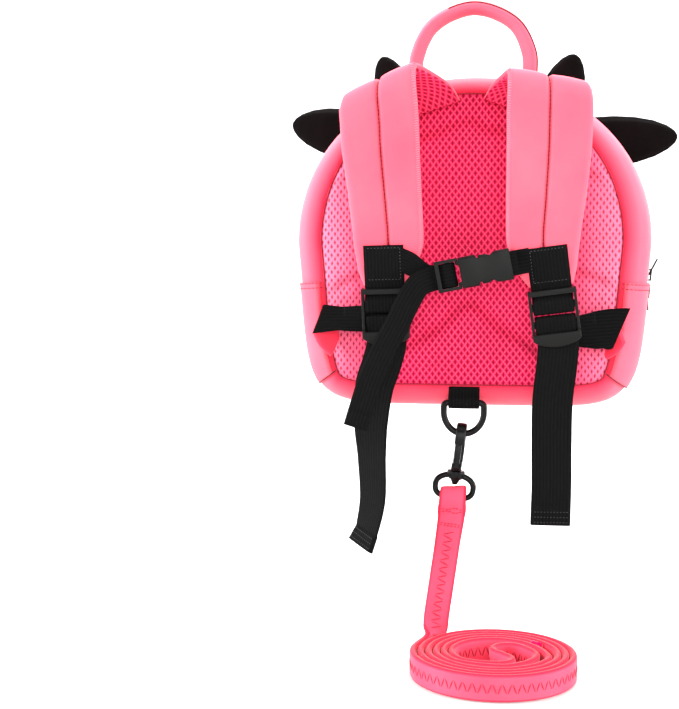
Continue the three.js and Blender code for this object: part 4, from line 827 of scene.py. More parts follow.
def make_front():
    side = [at_station(ring_stations, ZIP_INSET + inset * FRONT_ROUNDING, FRONT_RIM + depth * FRONT_DEPTH)
            for inset, depth in FRONT_ROWS]
    edge = side[-1]
    face = FRONT_RIM + FRONT_DEPTH
    dome = [towards_middle(edge, share, face + rise * FRONT_DOME) for share, rise in DOME_ROWS]
    lining = [at_station(ring_stations, ZIP_INSET + FRONT_WALL, FRONT_RIM)]
    lining += [towards_middle(edge, share, face - FRONT_WALL) for share in (0.9, 0.1)]
    rings = np.array(lining[::-1] + side + dome)
    return skin("bag_front", rings, uvs=rings[:, :, [0, 2]])


dress(make_front(), PINK, replaces=["front_panel"])

# Side pockets on the gusset, with a turned hem along the top
POCKET_TOP = -(BODY_TOP + 130.0)
POCKET_LENGTH = 66.0
POCKET_WALL = 1.0


def make_pocket(side, name):
    ring = side_stations(side)
    ring = ring[(ring[:, 1] <= POCKET_TOP) & (ring[:, 1] >= POCKET_TOP - POCKET_LENGTH)][::4]
    if side < 0:
        ring = ring[::-1]
    deep = seam_inset(ring)
    near = gusset_face(ring, deep, GAP)[2:]
    far = gusset_face(ring, deep, GAP + POCKET_WALL)[2:]
    hem = 0.4 * bell(ring[:, 1], POCKET_TOP - 1.5, 1.6)
    rings = np.stack(far + near[::-1], axis=1)
    out = np.stack([ring[:, 2], np.zeros(len(ring)), ring[:, 3]], axis=1)
    rings[:, :len(far)] += out[:, None, :] * hem[:, None, None]
    places = np.arange(len(ring)) * 2.0
    across = np.arange(rings.shape[1]) * 5.0
    return skin(name, rings, uvs=paired(across[None, :], places[:, None]))


def gusset_line(side, level, lift):
    """A line over the gusset's side at a height, from the back seam to the zip, with the
    direction out of the cloth at each point."""
    half = side_stations(side)
    near = half[[np.argmin(np.abs(half[:, 1] - level))]]
    points, inner = (np.array([row[0] for row in gusset_face(near, seam_inset(near), out)[1:-1]])
                     for out in (lift, lift - 1.0))
    places, params = curve_through(points, 8)
    return places, looked_up(params, np.arange(len(points)), points - inner)


HEM_LINES = (1.2, 3.9)

for side, sign in OUTWARD.items():
    dress(make_pocket(sign, "pocket_" + side), PINK, replaces=["side_pocket_" + side])
    hem_parts = []
    for drop in HEM_LINES:
        hem = gusset_line(sign, POCKET_TOP - drop, GAP + POCKET_WALL + 0.25)
        hem_parts += sewn_line(*hem, 1.9, 1.0, 0.24)
    dress(joined("hem_stitches_" + side, hem_parts), SEAM)
    low_line, _ = gusset_line(sign, POCKET_TOP - POCKET_LENGTH + 0.4, GAP + 0.7)
    dress(tube("pocket_seam_" + side, low_line, 0.45), SEAM)

# A dark red line along the seam where the panel meets the gusset: painted shade of the seam's valley
seam_shade_points = at_station(ring_stations, ring_seam * 0.985, BACK_SEAM - 0.2)
dress(tube("panel_seam_shade", seam_shade_points, 0.5, closed=True), SEAM_SHADE_LINE)

# Grab handle. Columns: turn round the arch in degrees, drop below it as a share of its
# radius, y as a share of the setback, and twist in degrees
HANDLE_ROWS = [
    (0, 0.75, -0.5, 4), (0, 0.3, -0.42, 4), (8, 0.0, -0.3, 3), (45, 0.0, -0.1, 0), (90, 0.0, 0.0, 0),
    (135, 0.0, -0.1, -3), (172, 0.0, -0.3, -12), (180, 0.3, -0.42, -14), (180, 0.75, -0.5, -14),
]
HANDLE_RADIUS = 35.5
HANDLE_WIDTH = 18.0
HANDLE_THICKNESS = 8.6

# The handle's seam: its place across and its rise, as shares of the width and half thickness
HANDLE_SEAM = 0.42
HANDLE_SEAM_RISE = 0.62


def oval_section(width, thickness, sides=24, power=2.4):
    turn = 2 * math.pi * (np.arange(sides) + 0.5) / sides
    c, s = np.cos(turn), np.sin(turn)
    reach = (abs(c) ** power + abs(s) ** power) ** (-1 / power)
    return np.stack([-c * reach * width / 2, s * reach * thickness / 2], axis=1)


def handle_run():
    rows = []
    for turn, drop, y, twist in HANDLE_ROWS:
        a = rad(turn)
        z = HANDLE_THICKNESS / 2 - HANDLE_RADIUS * (1 - math.sin(a) + drop)
        rows.append(knot(vec(-math.cos(a) * HANDLE_RADIUS, y * -BACK_SEAM, z),
                         vec(math.sin(rad(twist)), math.cos(rad(twist)), 0)))
    return run_through(rows, 110)


def handle_section(_):
    flat = oval_section(HANDLE_WIDTH, HANDLE_THICKNESS)
    flat[:, 1] -= 0.5 * np.sign(flat[:, 1]) * bell(flat[:, 0], -HANDLE_SEAM * HANDLE_WIDTH, 0.5)
    return flat


# Where the handle's seam starts, as a share of the way to its top
SEAM_START = 0.8


def handle_seam():
    """The closing seam along the outer edge of the handle, on the wearer's side."""
    run = handle_run()
    apex = len(run["at"]) // 2
    outer = math.copysign(HANDLE_SEAM_RISE, run["out"][apex][2])
    points = (run["at"] - run["across"] * HANDLE_SEAM * HANDLE_WIDTH
              + run["out"] * outer * HANDLE_THICKNESS / 2)
    return tube("handle_seam", points[int(SEAM_START * apex):-2], 0.42)


dress(strip("bag_handle", handle_run(), handle_section), PINK, replaces=["grab_handle"])
dress(handle_seam(), SEAM)

# Shoulder straps. Columns: x as a share of the half width, z as a share of the body's
# height below its top, y as a share of the stand-off, lean in degrees, width as a share
STRAP_ROWS = {
    "left": [
        (-0.26, 0.115, 0.12, 17, 0.96), (-0.31, 0.078, 0.2, 19, 0.98), (-0.41, 0.046, 0.42, 22, 0.98),
        (-0.475, 0.038, 0.7, 24, 0.98), (-0.485, 0.075, 0.9, 19, 0.98), (-0.475, 0.14, 1.0, 8, 0.96),
        (-0.465, 0.23, 1.04, 1, 0.95), (-0.444, 0.36, 0.99, -2, 0.9), (-0.427, 0.5, 0.86, 0, 0.86),
        (-0.436, 0.575, 0.78, 2, 0.72), (-0.447, 0.62, 0.72, 2, 0.54),
    ],
    "right": [
        (0.27, 0.113, 0.12, -19, 0.96), (0.32, 0.073, 0.2, -15, 0.99), (0.375, 0.044, 0.42, -11, 1.0),
        (0.415, 0.038, 0.7, -11, 1.01), (0.426, 0.072, 0.9, -9, 1.02), (0.427, 0.14, 1.0, -3, 1.02),
        (0.424, 0.24, 1.04, 0, 1.0), (0.412, 0.37, 0.99, 1, 0.95), (0.4, 0.5, 0.86, 3, 0.87),
        (0.42, 0.575, 0.78, 5, 0.72), (0.443, 0.62, 0.72, 6, 0.53),
    ],
}
STRAP_WIDTH = 50.0
STRAP_THICKNESS = 3.4
LINING_THICKNESS = 3.0
STRAP_STAND_OFF = 28.5
STRAP_COUNT = 150


def strap_run(side):
    rows = [knot(vec(x * HALF_WIDTH, BACK_SEAM - y * STRAP_STAND_OFF, -(BODY_TOP + z * BODY_TAIL)),
                 heading(lean), width)
            for x, z, y, lean, width in STRAP_ROWS[side]]
    return run_through(rows, STRAP_COUNT, ("width",), folded=True)


def strap_middle(side):
    """The run through the middle of the strap's neoprene."""
    return shifted(strap_run(side), (STRAP_THICKNESS + LAYER_GAP) / 2)


# The strap's sewn valley: its depth, and half widths of the valley and of its puckers
VALLEY_DEPTH = 2.1
VALLEY_WIDTH = 1.25
PUCKER_WIDTH = 4.0


def strap_section(width, i):
    """Two soft halves with a sewn valley between them, and edges that turn down."""
    w = width / 2
    t = STRAP_THICKNESS / 2
    shares = np.concatenate([np.linspace(-1, -0.2, 12), np.linspace(-0.14, 0.14, 11),
                             np.linspace(0.2, 1, 12)])
    puff = 0.8 * np.sin(np.pi * np.minimum(1, np.abs(shares)) ** 0.8) ** 1.2
    edge = (t + 0.6) * np.clip((np.abs(shares) - 0.86) / 0.14, 0, 1) ** 2.2
    valley = VALLEY_DEPTH * bell(shares * w, 0, VALLEY_WIDTH)
    ripple = 0.12 * math.sin(i / 2.1) * bell(shares * w, 0, PUCKER_WIDTH)
    top = np.stack([shares * w, t + puff - edge - valley + ripple], axis=1)
    bottom = np.stack([np.linspace(w, -w, 9), np.full(9, -t)], axis=1)
    bottom[[0, -1], 0] *= 0.985
    return np.vstack([top, bottom])


def make_strap(side):
    run = strap_middle(side)
    return strip("strap_" + side, run, lambda i: strap_section(run["width"][i] * STRAP_WIDTH, i))


def make_lining(side):
    run = shifted(strap_run(side), -(LINING_THICKNESS + LAYER_GAP) / 2)
    return strip("strap_lining_" + side, run, lambda i: rounded_section(
        run["width"][i] * STRAP_WIDTH - 1.6, LINING_THICKNESS, 14, 0.12, 5))


def valley_line(side):
    """Stitches down the valley between the two halves of a strap."""
    run = strap_middle(side)
    return sew(run, [(2.0, 0.0), (run["s"][-1] - 2.0, 0.0)], STRAP_THICKNESS / 2 - 1.35, 2.4, 0.1, 0.3)


OVERLOCK_PITCH = 1.25


def overlock(side):
    """Pale thread wrapped round the strap's inner edge."""
    run = strap_middle(side)
    inward = -OUTWARD[side]
    parts = []
    for s in np.arange(3.0, run["s"][-1] - 3.0, OVERLOCK_PITCH):
        edge = np.interp(s, run["s"], run["width"]) * STRAP_WIDTH / 2
        start, _, out = on_run(run, s, inward * (edge - 0.2), -0.2)
        end, _, _ = on_run(run, s + 0.5, inward * (edge - 2.3), STRAP_THICKNESS / 2 + 0.42)
        parts.append(thread_bit(start, end, out, 0.2))
    return parts


for side in SIDES:
    dress(joined("strap_seam_" + side, valley_line(side)), SEAM)
    dress(joined("strap_overlock_" + side, overlock(side)), PALE_THREAD)
    dress(make_strap(side), PINK, replaces=["shoulder_strap_" + side])
    dress(make_lining(side), STRAP_MESH, replaces=["strap_mesh_" + side])

# Ladder locks: where each one is, with its X axis along the bars and its Y axis up the strap
WEBBING_WIDTH = 24.6
WEBBING_THICKNESS = 1.4
LOCK_HEIGHT = 35.0
LOCK_STAND_OFF = 2.6
LOCK_DROP = 19.0
BAR_HEIGHT = 4.4
BAR_THICKNESS = 1.6
UPPER_BAR = 7.4
LOWER_BAR = -3.6
PATCH_LENGTH = 25.0
WEBBING_RUN = BAR_THICKNESS / 2 + GAP + WEBBING_THICKNESS / 2
LOCKS = {
    "left": {"x": (0.9996, 0.0015, 0.0265), "y": (-0.0258, -0.1798, 0.9834), "at": (-49.98, -51.25, -188.99)},
    "right": {"x": (0.9915, -0.0045, 0.1297), "y": (-0.1285, -0.1749, 0.9762),
              "at": (52.62, -51.35, -188.81)},
}


class Place:
    """A place with its own axes: at(x, y, z) gives a point in the row's frame."""

    def __init__(self, x, y, at):
        self.x = unit(vec(*x))
        self.z = unit(np.cross(self.x, vec(*y)))
        self.y = np.cross(self.z, self.x)
        self.origin = vec(*at)

    def at(self, x, y, z):
        return self.origin + x * self.x + y * self.y + z * self.z

    def inside(self, point):
        away = np.asarray(point) - self.origin
        return np.array([away @ self.x, away @ self.y, away @ self.z])


def lock_place(side):
    return Place(LOCKS[side]["x"], LOCKS[side]["y"], LOCKS[side]["at"])


def round_bar(edge, side):
    """Webbing round the end of a bar, from its front to its back: pairs of Y and Z."""
    return [(edge - side * 0.2, WEBBING_RUN), (edge + side * 1.5, 0.83 * WEBBING_RUN), (edge + side * 2.2, 0),
            (edge + side * 1.5, -0.83 * WEBBING_RUN), (edge - side * 0.2, -WEBBING_RUN)]


def patch_run(side):
    lock = lock_place(side)
    lift = LAYER_GAP / 2 + STRAP_THICKNESS + GAP + WEBBING_THICKNESS / 2
    on_strap = [lock.inside(p) for p in shifted(strap_run(side), lift)["at"][::7]]
    run = [(p[1], p[2]) for p in on_strap if LOCK_DROP < p[1] < LOCK_DROP + PATCH_LENGTH]
    half = BAR_HEIGHT / 2
    rows = run + [
        (LOCK_DROP - 1.6, -LOCK_STAND_OFF + WEBBING_THICKNESS / 2 + GAP),
        (LOCK_DROP - 4, -LOCK_STAND_OFF + WEBBING_THICKNESS / 2 + 1.3 * GAP),
        (UPPER_BAR + half + 2.6, 0.3), (UPPER_BAR + half + 0.4, WEBBING_RUN - 0.1), (UPPER_BAR, WEBBING_RUN),
        *round_bar(UPPER_BAR - half, -1),
        (UPPER_BAR + 0.6 * half, -WEBBING_RUN), (UPPER_BAR + half + 3.4, -WEBBING_RUN - 1.6),
    ]
    return run_through([knot(lock.at(0, y, z), lock.x) for y, z in rows], 130)


def flat_strap(name, run, width, thickness, across):
    """Webbing along a run; widths and thicknesses follow the run's own shares."""
    ones = np.ones(len(run["at"]))
    wide, thick = run.get("width", ones), run.get("thick", ones)
    return strip(name, run, lambda i: rounded_section(width * wide[i], thickness * thick[i], across, 0.06))


# Side tabs and adjusting webbing. Columns: places of the seam and of the edge as shares of
# the half width and of the body's height, lean of the edge, and where the webbing passes
# behind the lock
ANCHORS = {
    "left": {"seam": (-0.73, 0.775), "edge": (-0.822, 0.727), "lean": -20, "lock_y": -3},
    "right": {"seam": (0.755, 0.765), "edge": (0.812, 0.747), "lean": 18, "lock_y": -11},
}
SEAM_LEAN = 15
EDGE_STAND_OFF = 10.0
TAB_THICKNESS = 3.0
TAB_BASE = 34.0
TAIL_LENGTH = {"left": 126.0, "right": 110.0}
BAND_PINCH = {"left": (0.8, 0.62, 0.7), "right": (1.08, 0.94, 0.72)}
BAND_END = {"left": (0.36, 0.93), "right": (0.38, 0.925)}
BAND_REACH = 2.5
BEHIND_LOCK = -LOCK_STAND_OFF - 3.8

# Tails. Columns: drop as a share of the length, sideways and backwards as shares of the
# webbing's width, turn in degrees, and thickness as a share
TAIL_ROWS = {
    "left": [
        (0.08, -0.12, 0.0, 0, 1), (0.2, -0.32, 0.06, -8, 1), (0.39, -0.42, 0.14, -26, 1),
        (0.55, -0.4, 0.16, -38, 1), (0.77, -0.38, 0.18, -44, 1), (0.92, -0.52, 0.16, -50, 1),
        (0.93, -0.53, 0.16, -50, 2.4), (1.0, -0.68, 0.14, -42, 2.4),
    ],
    "right": [
        (0.08, -0.03, 0.0, 0, 1), (0.3, -0.13, 0.06, 4, 1), (0.55, -0.14, 0.14, 8, 1),
        (0.78, -0.13, 0.18, 10, 1), (0.895, -0.14, 0.2, 8, 1), (0.905, -0.14, 0.2, 8, 2.4),
        (1.0, -0.15, 0.22, 6, 2.4),
    ],
}


def tab_parts(side):
    """The seam and the free edge of a tab, each with its direction across."""
    row = ANCHORS[side]
    ends = []
    for (x, z), y in ((row["seam"], BACK_SEAM), (row["edge"], BACK_SEAM - EDGE_STAND_OFF)):
        ends.append(vec(x * HALF_WIDTH, y, -(BODY_TOP + z * BODY_TAIL)))
    return (*ends, heading(90 - OUTWARD[side] * SEAM_LEAN), heading(90 + row["lean"]))


def make_tab(side):
    seam, edge, seam_across, edge_across = tab_parts(side)
    rows = [
        knot(seam, seam_across, TAB_BASE),
        knot(lerp(seam, edge, 0.5), unit(lerp(seam_across, edge_across, 0.4)),
             lerp(TAB_BASE, WEBBING_WIDTH, 0.55)),
        knot(lerp(seam, edge, 0.9), edge_across, 0.8 * WEBBING_WIDTH),
    ]
    run = run_through(rows, 24, ("width",))
    return strip("side_tab_piece_" + side, run,
                 lambda i: rounded_section(run["width"][i], TAB_THICKNESS, 20, 0.1, 5))


def band_run(side):
    lock = lock_place(side)
    _, edge, _, edge_across = tab_parts(side)
    outward = OUTWARD[side]
    start = edge + vec(outward * (BAND_REACH - 1.5), -(TAB_THICKNESS + WEBBING_THICKNESS) / 2 - 2 * GAP, 0)
    end = lock.at(-outward * 0.44 * WEBBING_WIDTH, ANCHORS[side]["lock_y"], BEHIND_LOCK)
    tilt = BAND_END[side]
    first, second, third = BAND_PINCH[side]
    rows = [
        knot(start, vec(tilt[0], 0, tilt[1]), first),
        knot(lerp(start, end, 0.3), edge_across, second),
        knot(lerp(start, end, 0.62), lock.y, third, 1.3),
        knot(end, lock.y, 0.92),
    ]
    return run_through(rows, 60, ("width", "thick"), folded=1)


def tail_run(side):
    lock = lock_place(side)
    half = BAR_HEIGHT / 2
    behind = BEHIND_LOCK + WEBBING_THICKNESS * 0.85
    fold = ANCHORS[side]["lock_y"] - WEBBING_WIDTH / 2
    through = [
        (fold, behind), (fold + 6, behind), (LOWER_BAR - half - 0.5, -WEBBING_RUN - 1.1),
        *reversed(round_bar(LOWER_BAR + half, 1)),
        (LOWER_BAR, WEBBING_RUN), (LOWER_BAR - half, WEBBING_RUN), (-LOCK_HEIGHT / 2 + 6, WEBBING_RUN),
        (-LOCK_HEIGHT / 2 + 1, WEBBING_RUN - 0.1),
    ]
    rows = [knot(lock.at(0, y, z), lock.x) for y, z in through]
    foot = lock.at(0, -LOCK_HEIGHT / 2 - 1, WEBBING_RUN - 0.1)
    for drop, sideways, back, turn, thick in TAIL_ROWS[side]:
        c, s = math.cos(rad(turn)), math.sin(rad(turn))
        across = vec(c * lock.x[0] - s * lock.x[1], s * lock.x[0] + c * lock.x[1], lock.x[2])
        at = foot + vec(sideways * WEBBING_WIDTH, back * WEBBING_WIDTH, -drop * TAIL_LENGTH[side])
        rows.append(knot(at, across, thick=thick))
    return run_through(rows, 260, ("thick",))


def dress_webbing(name, run, replaces=(), width=WEBBING_WIDTH, thickness=WEBBING_THICKNESS, across=14):
    dress(flat_strap(name, run, width, thickness, across), WEBBING, replaces=replaces)


for side in SIDES:
    dress_webbing("patch_" + side, patch_run(side), ["strap_patch_" + side])
    dress(make_tab(side), SHADED_TAB_PINK, replaces=["side_tab_" + side])
    dress_webbing("adjuster_band_" + side, band_run(side))
    dress_webbing("adjuster_tail_" + side, tail_run(side), ["lower_webbing_" + side])

# Stitches that hold the patches and the turned ends of the tails
PATCH_SEAM_LOW = 4.0
TURNED_END = 10.5


def patch_stitches(side):
    run = patch_run(side)
    w = WEBBING_WIDTH / 2
    lift = WEBBING_THICKNESS / 2 + 0.1
    inner = -OUTWARD[side] * (w - 2.2)
    low = PATCH_LENGTH - PATCH_SEAM_LOW
    paths = ([(1.6, -w + 2.0), (1.6, w - 2.0)], [(1.6, inner), (low, inner)],
             [(low, -w + 2.0), (low, w - 2.0)])
    return [bit for path in paths for bit in sew(run, path, lift, 0.9, 1.1, 0.15)]


def tail_stitches(side):
    run = tail_run(side)
    w = WEBBING_WIDTH / 2
    end = run["s"][-1]
    parts = []
    for place in (end - TURNED_END + 2.0, end - TURNED_END / 2, end - 2.0):
        path = [(place, -w + 1.6), (place, w - 1.6)]
        parts += sew(run, path, WEBBING_THICKNESS * 1.2 + 0.12, 1.3, 0.7, 0.22)
    return parts


for side in SIDES:
    dress(joined("patch_stitches_" + side, patch_stitches(side)), WHITE_THREAD)
    dress(joined("tail_stitches_" + side, tail_stitches(side)), BLACK_THREAD)

# Chest strap: the buckle's own axes are X along the strap, Y up and Z towards the back
CHEST_WIDTH = 15.0
CHEST_THICKNESS = 1.2
CHEST_TAIL = 92.0
TUCK = 2.0
BUCKLE_TILT = 11
FEMALE_LENGTH = 31.0
END_BAR = 3.0
buckle = Place(heading(BUCKLE_TILT), heading(BUCKLE_TILT + 90), (-4, -58, -162.3))
CHEST_LOCK_Y = {"left": 35, "right": 36}

# Free tail of the chest strap: x and drop as shares of its length, forward in shares of the
# webbing's width, slope in degrees, and thickness as a share
CHEST_TAIL_ROWS = [
    (0.1, 0.04, 0.22, 24, 1), (0.17, 0.15, 0.42, 46, 1), (0.23, 0.28, 0.52, 60, 1),
    (0.325, 0.46, 0.52, 62, 1), (0.415, 0.66, 0.44, 67, 1), (0.487, 0.88, 0.4, 72, 1),
    (0.492, 0.895, 0.4, 72, 2.2), (0.52, 0.99, 0.38, 72, 2.2),
]


def patch_edge(side):
    """Where the chest strap starts at the patch, and the direction across it."""
    lock = lock_place(side)
    lift = LAYER_GAP / 2 + STRAP_THICKNESS + 2 * GAP + CHEST_THICKNESS / 2
    run = shifted(strap_run(side), lift)
    level = np.array([lock.inside(p) for p in run["at"]])
    near = np.argmin(np.abs(level[:, 1] - CHEST_LOCK_Y[side]))
    reach = -OUTWARD[side] * (WEBBING_WIDTH / 2 - TUCK) - level[near, 0]
    slide = level[near, 1] - CHEST_LOCK_Y[side]
    return run["at"][near] + run["across"][near] * reach + run["along"][near] * slide, -run["along"][near]


def chest_left_run():
    start, edge_across = patch_edge("left")
    entry = buckle.at(-18, 1, -2.2)
    leave = (-15.5, 0.4)
    rows = [
        knot(start, edge_across),
        knot(lerp(start, entry, 0.45) + buckle.y, edge_across),
        knot(entry, unit(lerp(edge_across, buckle.y, 0.7))),
    ]
    for x, z in [(-13, -1.9), (-9, -1.9), (-5.4, -1.9), (-3.5, -1.1), (-3.1, -0.2), (-3.6, 0.8), (-5.4, 1.4),
                 (-8.6, 1.5), (-10.4, 1.1), (-12.2, 0.45), leave]:
        rows.append(knot(buckle.at(x, 0, z), buckle.y))
    last = rows[-1]["at"]
    for x, drop, out, slope, thick in CHEST_TAIL_ROWS:
        rows.append(knot(last + vec(-x * CHEST_TAIL, -out * CHEST_WIDTH, -drop * CHEST_TAIL),
                         heading(90 + slope), thick=thick))
    return run_through(rows, 300, ("thick",), folded=2)


def chest_right_run():
    start, edge_across = patch_edge("right")
    bar = FEMALE_LENGTH - END_BAR / 2
    run = 1 + GAP + CHEST_THICKNESS / 2
    rows = [knot(start, edge_across)]
    for x, z in [(bar + 4.5, -run), (bar + 0.8, -run), (bar - 1, -run), (bar - 2.6, -0.75 * run),
                 (bar - 3.3, 0), (bar - 2.6, 0.75 * run), (bar - 1, run), (bar + 1.5, run),
                 (bar + 5.5, run - 0.3)]:
        rows.append(knot(buckle.at(x, 0, z), buckle.y))
    return run_through(rows, 90)


for side, run in zip(SIDES, (chest_left_run(), chest_right_run())):
    dress_webbing("chest_webbing_" + side, run, ["chest_strap_" + side], CHEST_WIDTH, CHEST_THICKNESS, 10)

# Ring under the bag and its webbing tab
RING_X = -3.0
RING_Y = BACK_SEAM - 2.5
RING_TAB_WIDTH = 19.4
RING_TAB_LENGTH = 11.0
RING_WIDTH = 29.2
RING_HEIGHT = 23.6
RING_WIRE = 4.1
RING_CORNER = 2.6
RING_BAR = -(BODY_TOP + BODY_TAIL - SEAM_INSET["bottom"]) - RING_TAB_LENGTH


def ring_tab_run():
    around = RING_WIRE / 2 + 1.3 * GAP + CHEST_THICKNESS / 2
    rows = [
        (BACK_SEAM - 0.9, RING_BAR + RING_TAB_LENGTH - 1),
        (BACK_SEAM - 1.6, RING_BAR + RING_TAB_LENGTH - 4.5),
        (RING_Y - around * 0.94, RING_BAR + 2.2), (RING_Y - around, RING_BAR),
        (RING_Y - 0.7 * around, RING_BAR - 0.72 * around), (RING_Y, RING_BAR - around),
        (RING_Y + 0.7 * around, RING_BAR - 0.72 * around), (RING_Y + around, RING_BAR),
        (RING_Y + 0.85 * around, RING_BAR + 1.8), (RING_Y + 0.45 * around, RING_BAR + 4),
    ]
    return run_through([knot(vec(RING_X, y, z), vec(1, 0, 0)) for y, z in rows], 90)


WIRE_SIDES = 18


def wire_loop(name, points, wire, place):
    """A closed wire along points (x, y) in a place's XY plane."""
    points = np.asarray(points)
    span = unit_rows(np.roll(points, -1, axis=0) - np.roll(points, 1, axis=0))
    rings = []
    for p, d in zip(points, span):
        turns = [2 * math.pi * (k + 0.5) / WIRE_SIDES for k in range(WIRE_SIDES)]
        sides = [(math.cos(turn) * wire / 2, math.sin(turn) * wire / 2) for turn in turns]
        rings.append([place.at(p[0] - d[1] * c, p[1] + d[0] * c, s) for c, s in sides])
    return skin(name, rings, loop=True)


def ring_points():
    w = (RING_WIDTH - RING_WIRE) / 2
    h = RING_HEIGHT - RING_WIRE
    straight = 0.3 * h
    flat = w - RING_CORNER
    corner = [(-flat - RING_CORNER * math.cos(rad(turn)), -RING_CORNER * (1 - math.sin(rad(turn))))
              for turn in range(0, 91, 10)]
    points = corner + [(x, 0.0) for x in np.linspace(-flat, flat, 8)[1:-1]]
    points += [(-x, y) for x, y in reversed(corner)]
    return points + [(w * math.cos(rad(turn)), -straight - (h - straight) * math.sin(rad(turn)))
                     for turn in range(0, 181, 5)]


ring_place = Place((1, 0, 0), (0, 0, 1), (RING_X, RING_Y, RING_BAR))
dress_webbing("ring_tab", ring_tab_run(), ["d_ring_tab"], RING_TAB_WIDTH, CHEST_THICKNESS)
dress(wire_loop("bag_ring", ring_points(), RING_WIRE, ring_place), METAL, replaces=["d_ring"])

# Swivel eye, in the hook's own axes: X to the back, Y up, Z across
EYE_WIDTH = 27.6
EYE_HEIGHT = 18.4
EYE_WIRE = 3.7
BOSS_HEIGHT = 5.5
BOSS_RADIUS = 5.6
hook = Place((0, -1, 0), (0.1219, 0, 0.9925), (-7.357, -30.5, -286.425))
EYE_MIDDLE = -BOSS_HEIGHT / 2 - (EYE_HEIGHT - EYE_WIRE) / 2 - 0.5


def eye_points():
    a = (EYE_WIDTH - EYE_WIRE) / 2
    b = (EYE_HEIGHT - EYE_WIRE) / 2
    turn = np.linspace(0, 2 * math.pi, 72, endpoint=False)
    c, s = np.cos(turn), np.sin(turn)
    exponent = np.where(s < 0, 3, 2.2)
    reach = (abs(c) ** exponent + abs(s) ** exponent) ** (-1 / exponent)
    return np.stack([a * c * reach, EYE_MIDDLE + b * s * reach], axis=1)


def turned(name, profile, place, sides=32):
    """A round body about a place's Y axis. The profile has pairs of radius and height."""
    turns = [2 * math.pi * k / sides for k in range(sides)]
    rings = [[place.at(radius * math.cos(turn), height, radius * math.sin(turn)) for turn in turns]
             for radius, height in profile]
    return skin(name, rings, loop=True)


eye_place = Place(-hook.z, hook.y, hook.origin)
eye = wire_loop("swivel_eye_wire", eye_points(), EYE_WIRE, eye_place)
dress(eye, METAL, replaces=["swivel_eye"])
BORE = 2.1
BOSS_PROFILE = [
    (BORE, -0.6), (BORE + 0.3, -GAP), (0.88 * BOSS_RADIUS, -GAP), (0.97 * BOSS_RADIUS, -0.7),
    (BOSS_RADIUS, -1.5),
    (0.96 * BOSS_RADIUS, -3.0), (0.86 * BOSS_RADIUS, -4.6), (0.8 * BOSS_RADIUS, -5.5),
    (0.74 * BOSS_RADIUS, -5.8), (BORE + 1.5, -5.8), (BORE + 1.5, -5.0), (BORE, -4.6),
]
dress(turned("swivel_boss", BOSS_PROFILE, hook), METAL)


# Angles in degrees: faces that count as one, edges that are rounded, edges that stay hard
FLAT_ANGLE = 3
ROUNDED_ANGLE = 24
HARD_ANGLE = 50


def moulded(node, name, material, body="bag", width=0.25):
    """A copy of a hard CAD piece with its flat faces joined and its edges rounded."""
    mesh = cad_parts[node].data.copy()
    mesh.name = name

    def soften(work):
        ops = bmesh.ops
        ops.remove_doubles(work, verts=work.verts, dist=1e-6)
        ops.dissolve_limit(work, angle_limit=rad(FLAT_ANGLE), verts=work.verts, edges=work.edges)
        sharp = [e for e in work.edges
                 if len(e.link_faces) == 2 and e.calc_face_angle() > rad(ROUNDED_ANGLE)]
        ops.bevel(work, geom=sharp, offset=width * MM, segments=2, profile=0.6, affect="EDGES",
                  clamp_overlap=True)
        ops.recalc_face_normals(work, faces=work.faces)
    reworked(mesh, soften)
    for polygon in mesh.polygons:
        polygon.use_smooth = True
    obj = bpy.data.objects.new(name, mesh)
    bpy.context.scene.collection.objects.link(obj)
    crease(obj, HARD_ANGLE)
    return dress(obj, material, body, [node])


for side in SIDES:
    moulded("ladder_lock_" + side, "strap_adjuster_" + side, PLASTIC)
moulded("buckle_male", "buckle_arms", PLASTIC)
moulded("buckle_female", "buckle_body", PLASTIC, width=0.5)
moulded("snap_hook", "hook_piece", METAL, "hook", 0.45)
moulded("hook_gate", "hook_gate_piece", METAL, "gate", 0.3)
for which in ("upper", "lower"):
    moulded("zip_slider_" + which, "slider_" + which, METAL)
    moulded("zip_pull_" + which, "pull_tab_" + which, METAL, "pull_" + which, 0.15)

# Tether: one flat strap from its sewn loop on the eye, down to the coil and in to its end
HOOK_TILT = 7
LEASH_WIDTH = 16.0
LEASH_THICKNESS = 4.1
LEASH_DROP = 86.0
LOOP_THIN = 0.84
LEASH_TILT_SHARE = 0.55
COIL_X = 19.0
COIL_Y = -68.0
COIL_RADIUS = 52.0
COIL_PITCH = 4.7
COIL_START = 155
COIL_STEP = 24
COIL_STEPS = 64
SHIFT_START = 1270
SHIFT_SPAN = 40
RETURN_END = 1315
BEND_RADIUS = 16.0

# The strap's pass through the coil's middle, as shares of the coil's radius
CROSSING = [
    (0.04, -0.425), (0.18, -0.35), (0.2, -0.2), (0.1, -0.06), (-0.02, 0.08), (-0.02, 0.22), (0.1, 0.33),
    (0.26, 0.31), (0.385, 0.18), (0.48, 0.0), (0.44, -0.24), (0.28, -0.44), (0.1, -0.535),
]


def coil_point(turned_by, inner):
    shift = COIL_PITCH * float(smoothstep(turned_by, SHIFT_START, SHIFT_START + SHIFT_SPAN)) if inner else 0.0
    radius = COIL_RADIUS - LEASH_THICKNESS / 2 - COIL_PITCH * turned_by / 360 - shift
    angle = rad(COIL_START + turned_by)
    return np.array([math.cos(angle) * radius, math.sin(angle) * radius])


def coil_plan():
    points = [coil_point(i * COIL_STEP, True) for i in range(COIL_STEPS)]
    points += [np.array(row) * COIL_RADIUS for row in CROSSING]
    turned_by = (COIL_STEPS - 1) * COIL_STEP
    while turned_by >= RETURN_END:
        points.append(coil_point(turned_by, False))
        turned_by -= COIL_STEP
    return points


